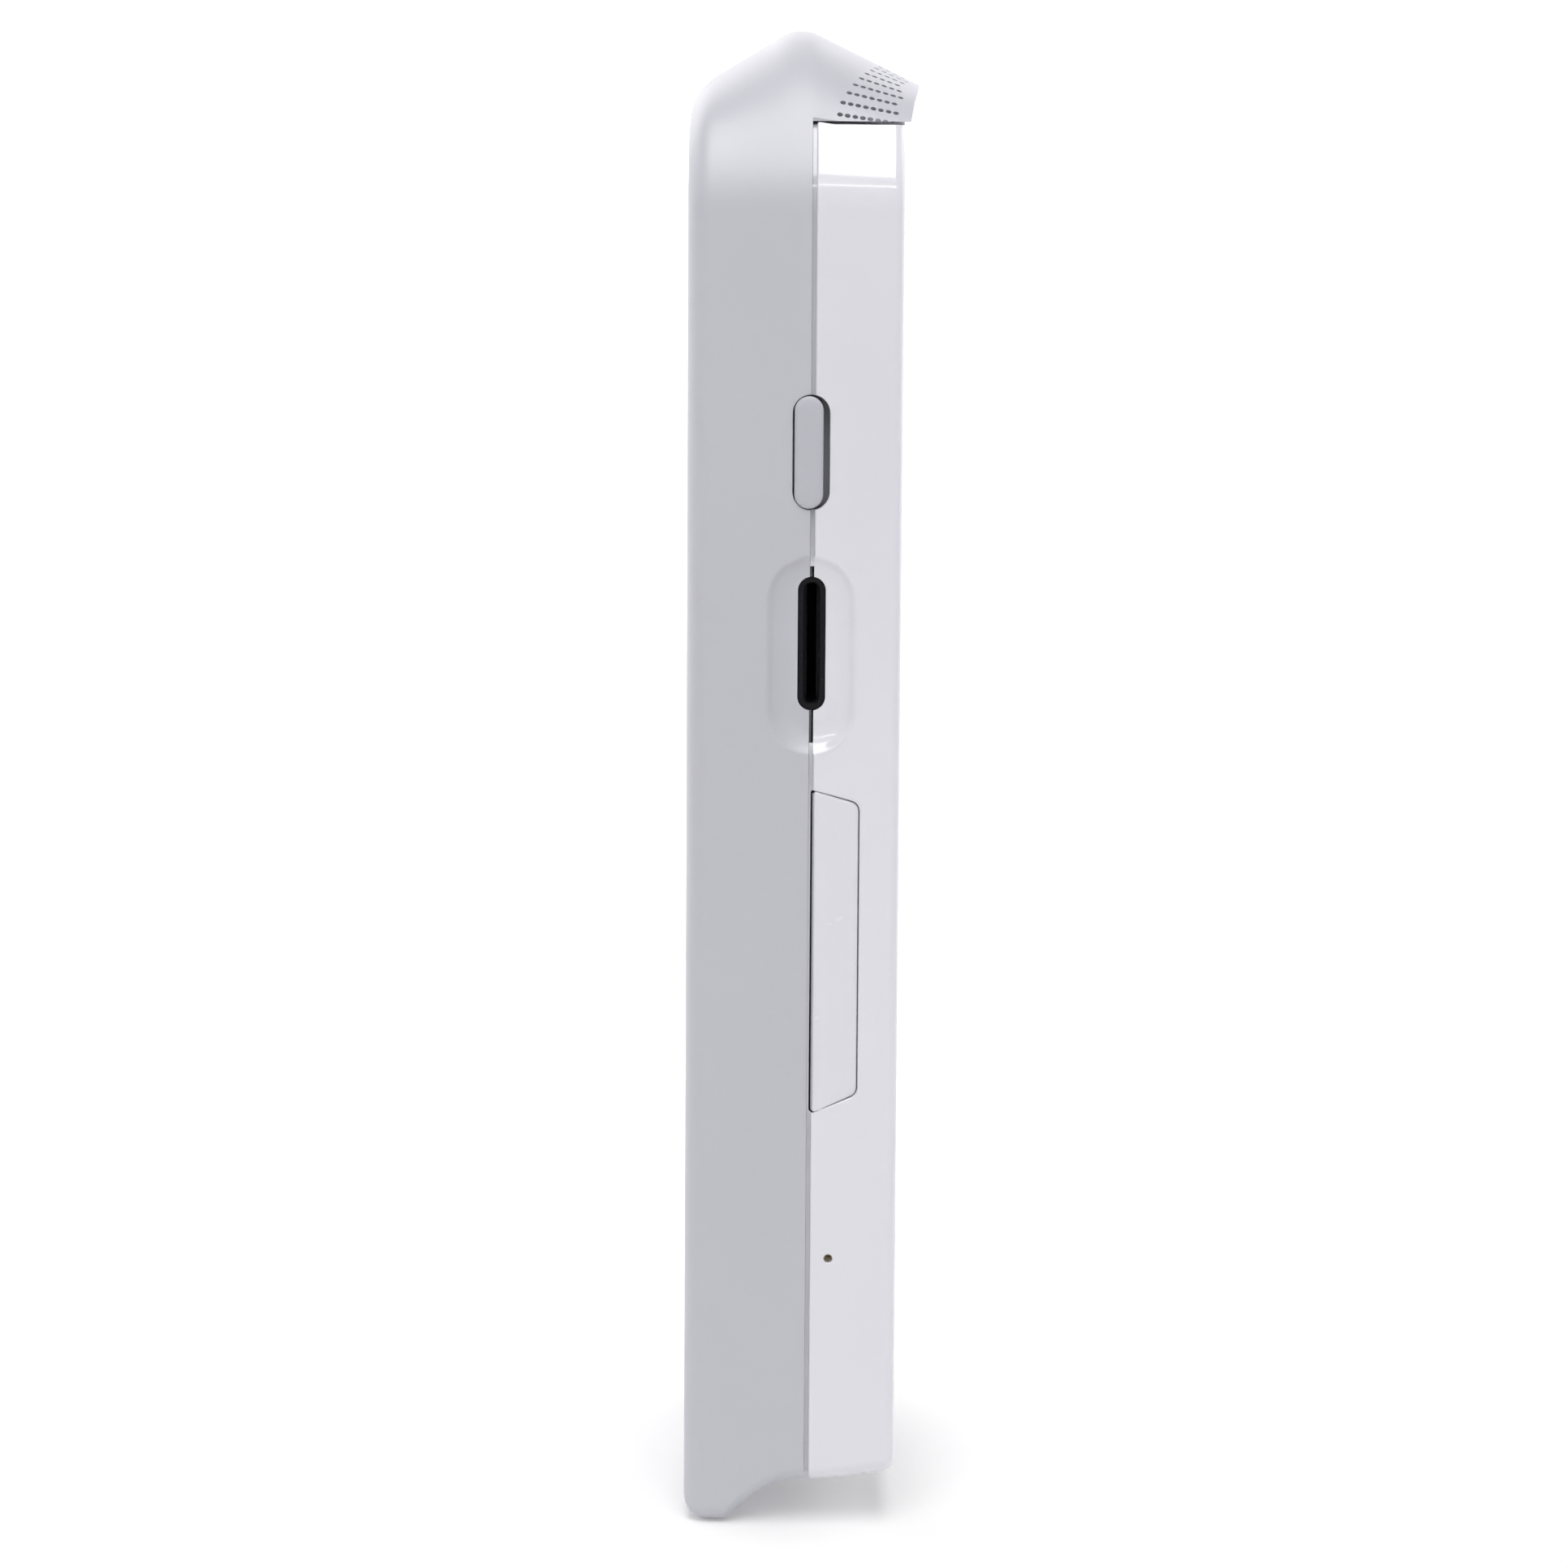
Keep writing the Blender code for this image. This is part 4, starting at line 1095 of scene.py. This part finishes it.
def milky(name, colour, glow=(1.0, 1.0, 1.0), cell=900.0, height=0.25, lit=0.0):
    """A translucent moulding: light gets into it, and small cells break up its surface."""
    material, tree, shader = new_material(
        name, Roughness=0.34, Subsurface_Weight=0.35, Subsurface_Radius=(1.0, 0.9, 0.8),
        Subsurface_Scale=0.0012, Emission_Color=(*glow, 1.0), Emission_Strength=lit)
    cells = add(tree, "ShaderNodeGroup", node_tree=CELLS, Colour=(*colour, 1.0), Cell_Scale=cell,
                Cell_Colour=(*(0.96 * c for c in colour), 1.0), Cell_Height=height)
    feed(shader, Normal=cells.outputs["Normal"], Base_Color=cells.outputs["Colour"])
    return material


dome = make_sensor_dome()
smooth(dome, milky("sensor_dome", (0.78, 0.78, 0.80), cell=1100.0, height=0.12))
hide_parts("pir_lens")
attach(dome, "unit")
repaint(steel, "pir_sensor")


# ==== Bell button =========================================================
# A dished satin button with a rolled edge, a frosted light ring round it, and a
# rubber seal and a switch behind it.

button = turned("bell_cap", BUTTON, [
    (12.8, 16.7), (12.9, 16.8), (12.9, 17.4), (12.8, 17.5), (12.2, 17.5), (12.2, 19.7), (12.16, 19.95),
    (12.05, 20.14), (11.86, 20.26), (11.6, 20.3), (11.2, 20.28), (9.8, 20.19), (8.2, 20.12), (7.0, 20.1),
    (3.5, 20.08), (0.0, 20.07)], 128)
mark = [(2.6, 19.98), (2.6, 20.5), (3.1, 20.5), (3.1, 19.98)]
combine(button, "DIFFERENCE", [turned("target_groove", BUTTON, mark, 96, closed=True)])
smooth(button, plastic("button_white", (0.690, 0.685, 0.735), (0.720, 0.715, 0.765), (0.30, 0.40),
                       (9000.0, 0.15), (200.0, 0.05), dust=0.05))
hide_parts("bell_button")
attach(button, "bell_button")

halo = turned("halo", BUTTON, [
    (14.72, 18.0), (14.72, 20.0), (14.62, 20.12), (14.4, 20.2), (13.5, 20.22), (12.65, 20.2), (12.5, 20.12),
    (12.42, 20.0), (12.42, 18.0)], 128, closed=True)
smooth(halo, milky("light_guide", (0.74, 0.79, 0.88), (0.55, 0.75, 1.0), cell=2600.0, height=0.1, lit=0.12))
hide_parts("light_ring")
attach(halo, "unit")

switch_white = plastic("switch_white", (0.62, 0.62, 0.60), (0.68, 0.68, 0.66), (0.35, 0.45), (7000.0, 0.2),
                       (150.0, 0.05))
repaint(rubber, "button_seal", "microphone_boot", "battery_lead")
repaint(black_plastic, "bell_switch", "power_switch")
repaint(switch_white, "bell_switch_plunger", "power_switch_plunger")
repaint(steel, "microphone")


# ==== Wall bracket ========================================================
# A flat moulded plate that stays on the wall. Four hooks stand out from its sides to
# catch the case, two countersunk holes take the wall screws, and ribs stiffen its face.

bracket_grey = plastic("bracket_grey", (0.400, 0.398, 0.440), (0.430, 0.428, 0.470), (0.52, 0.64),
                       (7000.0, 0.4), (80.0, 0.06), dust=0.15)
BRACKET_LOW, BRACKET_HIGH, BRACKET_HALF = 20.0, 116.0, 17.6


def make_bracket():
    middle = (BRACKET_LOW + BRACKET_HIGH) / 2
    tall = BRACKET_HIGH - BRACKET_LOW
    ease = [(0.0, -0.25), (0.07, -0.07), (0.25, 0.0), (2.1, 0.0), (2.32, -0.07), (2.4, -0.3)]
    sizes = [(2 * (BRACKET_HALF + g), tall + 2 * g) for t, g in ease]
    plate = skin("plate", facing_front([
        (t, rounded(rectangle((0.0, middle), size), 6.0 + g, 8)) for (t, g), size in zip(ease, sizes)]))
    hooks = []
    for z in (44.0, 88.0):
        reach = 2 * (BRACKET_HALF + 1.5)
        ends = [(t, rounded(rectangle((0.0, z + 3.0), (reach + 2 * g, 6.0 + 2 * g)), 0.6, 5))
                for t, g in ((1.45, -0.15), (1.6, 0.0), (2.2, 0.0), (2.35, -0.15))]
        hooks.append(skin("hook", facing_front(ends)))
    combine(plate, "UNION", hooks)
    hole = [(2.1, -1.0), (2.1, 0.9), (4.4, 3.2)]
    cutters = [turned("wall_hole", (0.0, z), hole, 48) for z in (32.0, 104.0)]
    for x in (-11.0, -4.5, 4.5, 11.0):
        pocket = rounded(rectangle((x, middle), (5.0, 52.0)), 1.2, 5)
        wide = rounded(rectangle((x, middle), (5.3, 52.3)), 1.3, 5)
        layers = [(1.75, pocket), (2.3, pocket), (2.41, wide), (3.0, wide)]
        cutters.append(skin("relief", facing_front(layers)))
    return combine(plate, "DIFFERENCE", cutters)


bracket = make_bracket()
smooth(bracket, bracket_grey)
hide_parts("wall_bracket")
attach(bracket, "bracket")


# ==== Screws ==============================================================
# Steel pan-head screws with a cross recess: four long ones from the back hold the
# shells together, and four short ones hold the board to the front shell.


def make_screw(name, head, neck, length, pitch=0.5, sides=32):
    """One screw along t from its head's face, with a rounded head, a cross recess and rolled threads."""
    radius, deep = head
    profile = [(radius * 0.62, 0.0), (radius * 0.84, 0.06), (radius * 0.96, 0.2), (radius, 0.4),
               (radius, deep), (neck, deep)]
    place = deep + 0.3
    while place < length - 0.6:
        profile += [(neck * 0.84, place), (neck, place + pitch / 2)]
        place += pitch
    profile += [(neck * 0.8, length - 0.5), (0.0, length)]
    turn = [2 * math.pi * k / sides for k in range(sides)]
    rings = [[(max(r, 0.01) * math.cos(a), t, max(r, 0.01) * math.sin(a)) for a in turn] for r, t in profile]
    arms = []
    for size in ((radius * 1.1, radius * 0.26), (radius * 0.26, radius * 1.1)):
        mouth, tip = (rectangle((0.0, 0.0), (size[0] * share, size[1] * share)) for share in (1.0, 0.5))
        arms.append(skin("recess_arm", facing_front([(-0.5, mouth), (0.0, mouth), (deep * 0.7, tip)])))
    return combine(skin(name, rings), "DIFFERENCE", arms)


def screw_tree():
    """Copies of one screw at given places, each turned about its own axis by chance."""
    tree, given = new_tree("screw_set", Screw="Object", Places="Object", Turn="Float", Seed="Int",
                           Material="Material")
    shape = add(tree, "GeometryNodeObjectInfo", Object=given["Screw"])
    places = add(tree, "GeometryNodeObjectInfo", Object=given["Places"])
    chance = add(tree, "FunctionNodeRandomValue", Seed=given["Seed"])
    tree.links.new(given["Turn"], chance.inputs[3])
    spin = add(tree, "ShaderNodeCombineXYZ", Y=chance.outputs[1])
    copies = add(tree, "GeometryNodeInstanceOnPoints", Points=places.outputs["Geometry"],
                 Instance=shape.outputs["Geometry"], Rotation=spin.outputs["Vector"])
    return finish_tree(tree, given, copies.outputs["Instances"])


SCREW_SET = screw_tree()


def place_screws(name, screw, places, nodes, seed):
    """Every screw of a kind as one piece. at() is undone, so that the screw's own zero is its head's face."""
    for vert in screw.data.vertices:
        vert.co -= at(0.0, 0.0, 0.0)
    dots = bpy.data.meshes.new("places")
    dots.from_pydata([tuple(at(*p)) for p in places], [], [])
    holder = bpy.data.objects.new("places", dots)
    bpy.context.scene.collection.objects.link(holder)
    piece = grown(name, SCREW_SET, {
        "Screw": screw, "Places": holder, "Turn": 1.5, "Seed": seed, "Material": steel})
    for spare in (screw, holder):
        bpy.data.meshes.remove(spare.data)
    smooth(piece, steel)
    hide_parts(*nodes)
    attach(piece, "unit")


place_screws("case_screws", make_screw("long_screw", (1.9, 1.4), 0.9, 14.5),
             [(x, 1.5, z) for z in (117.5, 9.5) for x in (-17.5, 17.5)],
             [f"case_screw_{k}" for k in (1, 2, 3, 4)], 3)
place_screws("board_screws", make_screw("short_screw", (1.6, 1.0), 0.7, 5.3),
             [(x, 11.7, z) for x, z in ((-12.5, 18.0), (15.5, 19.0), (-15.5, 94.0), (15.5, 94.0))],
             [f"board_screw_{k}" for k in (1, 2, 3, 4)], 7)


# ==== Board, battery and speaker ==========================================
# The inside: a green lacquered board with its shielded processor, wireless module and
# foil antenna, a soft-pack battery in dull foil, and a small cone speaker.


def board_finish():
    """Green lacquer over copper tracks, with a few brighter bare pads."""
    material, tree, shader = new_material("board_resin", Roughness=0.35, Coat_Weight=0.3)
    place = add(tree, "ShaderNodeTexCoord").outputs["Object"]
    turn = add(tree, "ShaderNodeMapping", Vector=place, Rotation=(math.pi / 2, 0.0, 0.0))
    tracks = add(tree, "ShaderNodeTexBrick", Vector=turn.outputs["Vector"], Scale=420.0, Mortar_Size=0.035,
                 Color1=(0.010, 0.090, 0.045, 1.0), Color2=(0.012, 0.110, 0.055, 1.0),
                 Mortar=(0.045, 0.200, 0.095, 1.0))
    pads = add(tree, "ShaderNodeTexVoronoi", Vector=place, Scale=380.0).outputs["Distance"]
    bare = add(tree, "ShaderNodeMath", operation="LESS_THAN")
    tree.links.new(pads, bare.inputs[0])
    bare.inputs[1].default_value = 0.16
    shade = add(tree, "ShaderNodeMix", data_type="RGBA", Factor=bare.outputs["Value"],
                A=tracks.outputs["Color"], B=(0.62, 0.50, 0.24, 1.0))
    raised = add(tree, "ShaderNodeBump", Distance=0.00003, Strength=0.5, Height=tracks.outputs["Fac"])
    feed(shader, Base_Color=shade.outputs["Result"], Normal=raised.outputs["Normal"])
    return material


repaint(board_finish(), "main_board")
repaint(metal("foil", (0.66, 0.67, 0.69), (0.30, 0.48), (700.0, 0.9)), "battery_pack", "shield_can")
repaint(brass, "antenna")
repaint(black_plastic, "wifi_module", "battery_plug", "speaker_frame")
repaint(steel, "speaker_magnet")
repaint(plastic("speaker_paper", (0.045, 0.044, 0.042), (0.070, 0.068, 0.065), (0.78, 0.90), (2500.0, 0.9),
                (300.0, 0.3), dust=0.1), "speaker_cone")
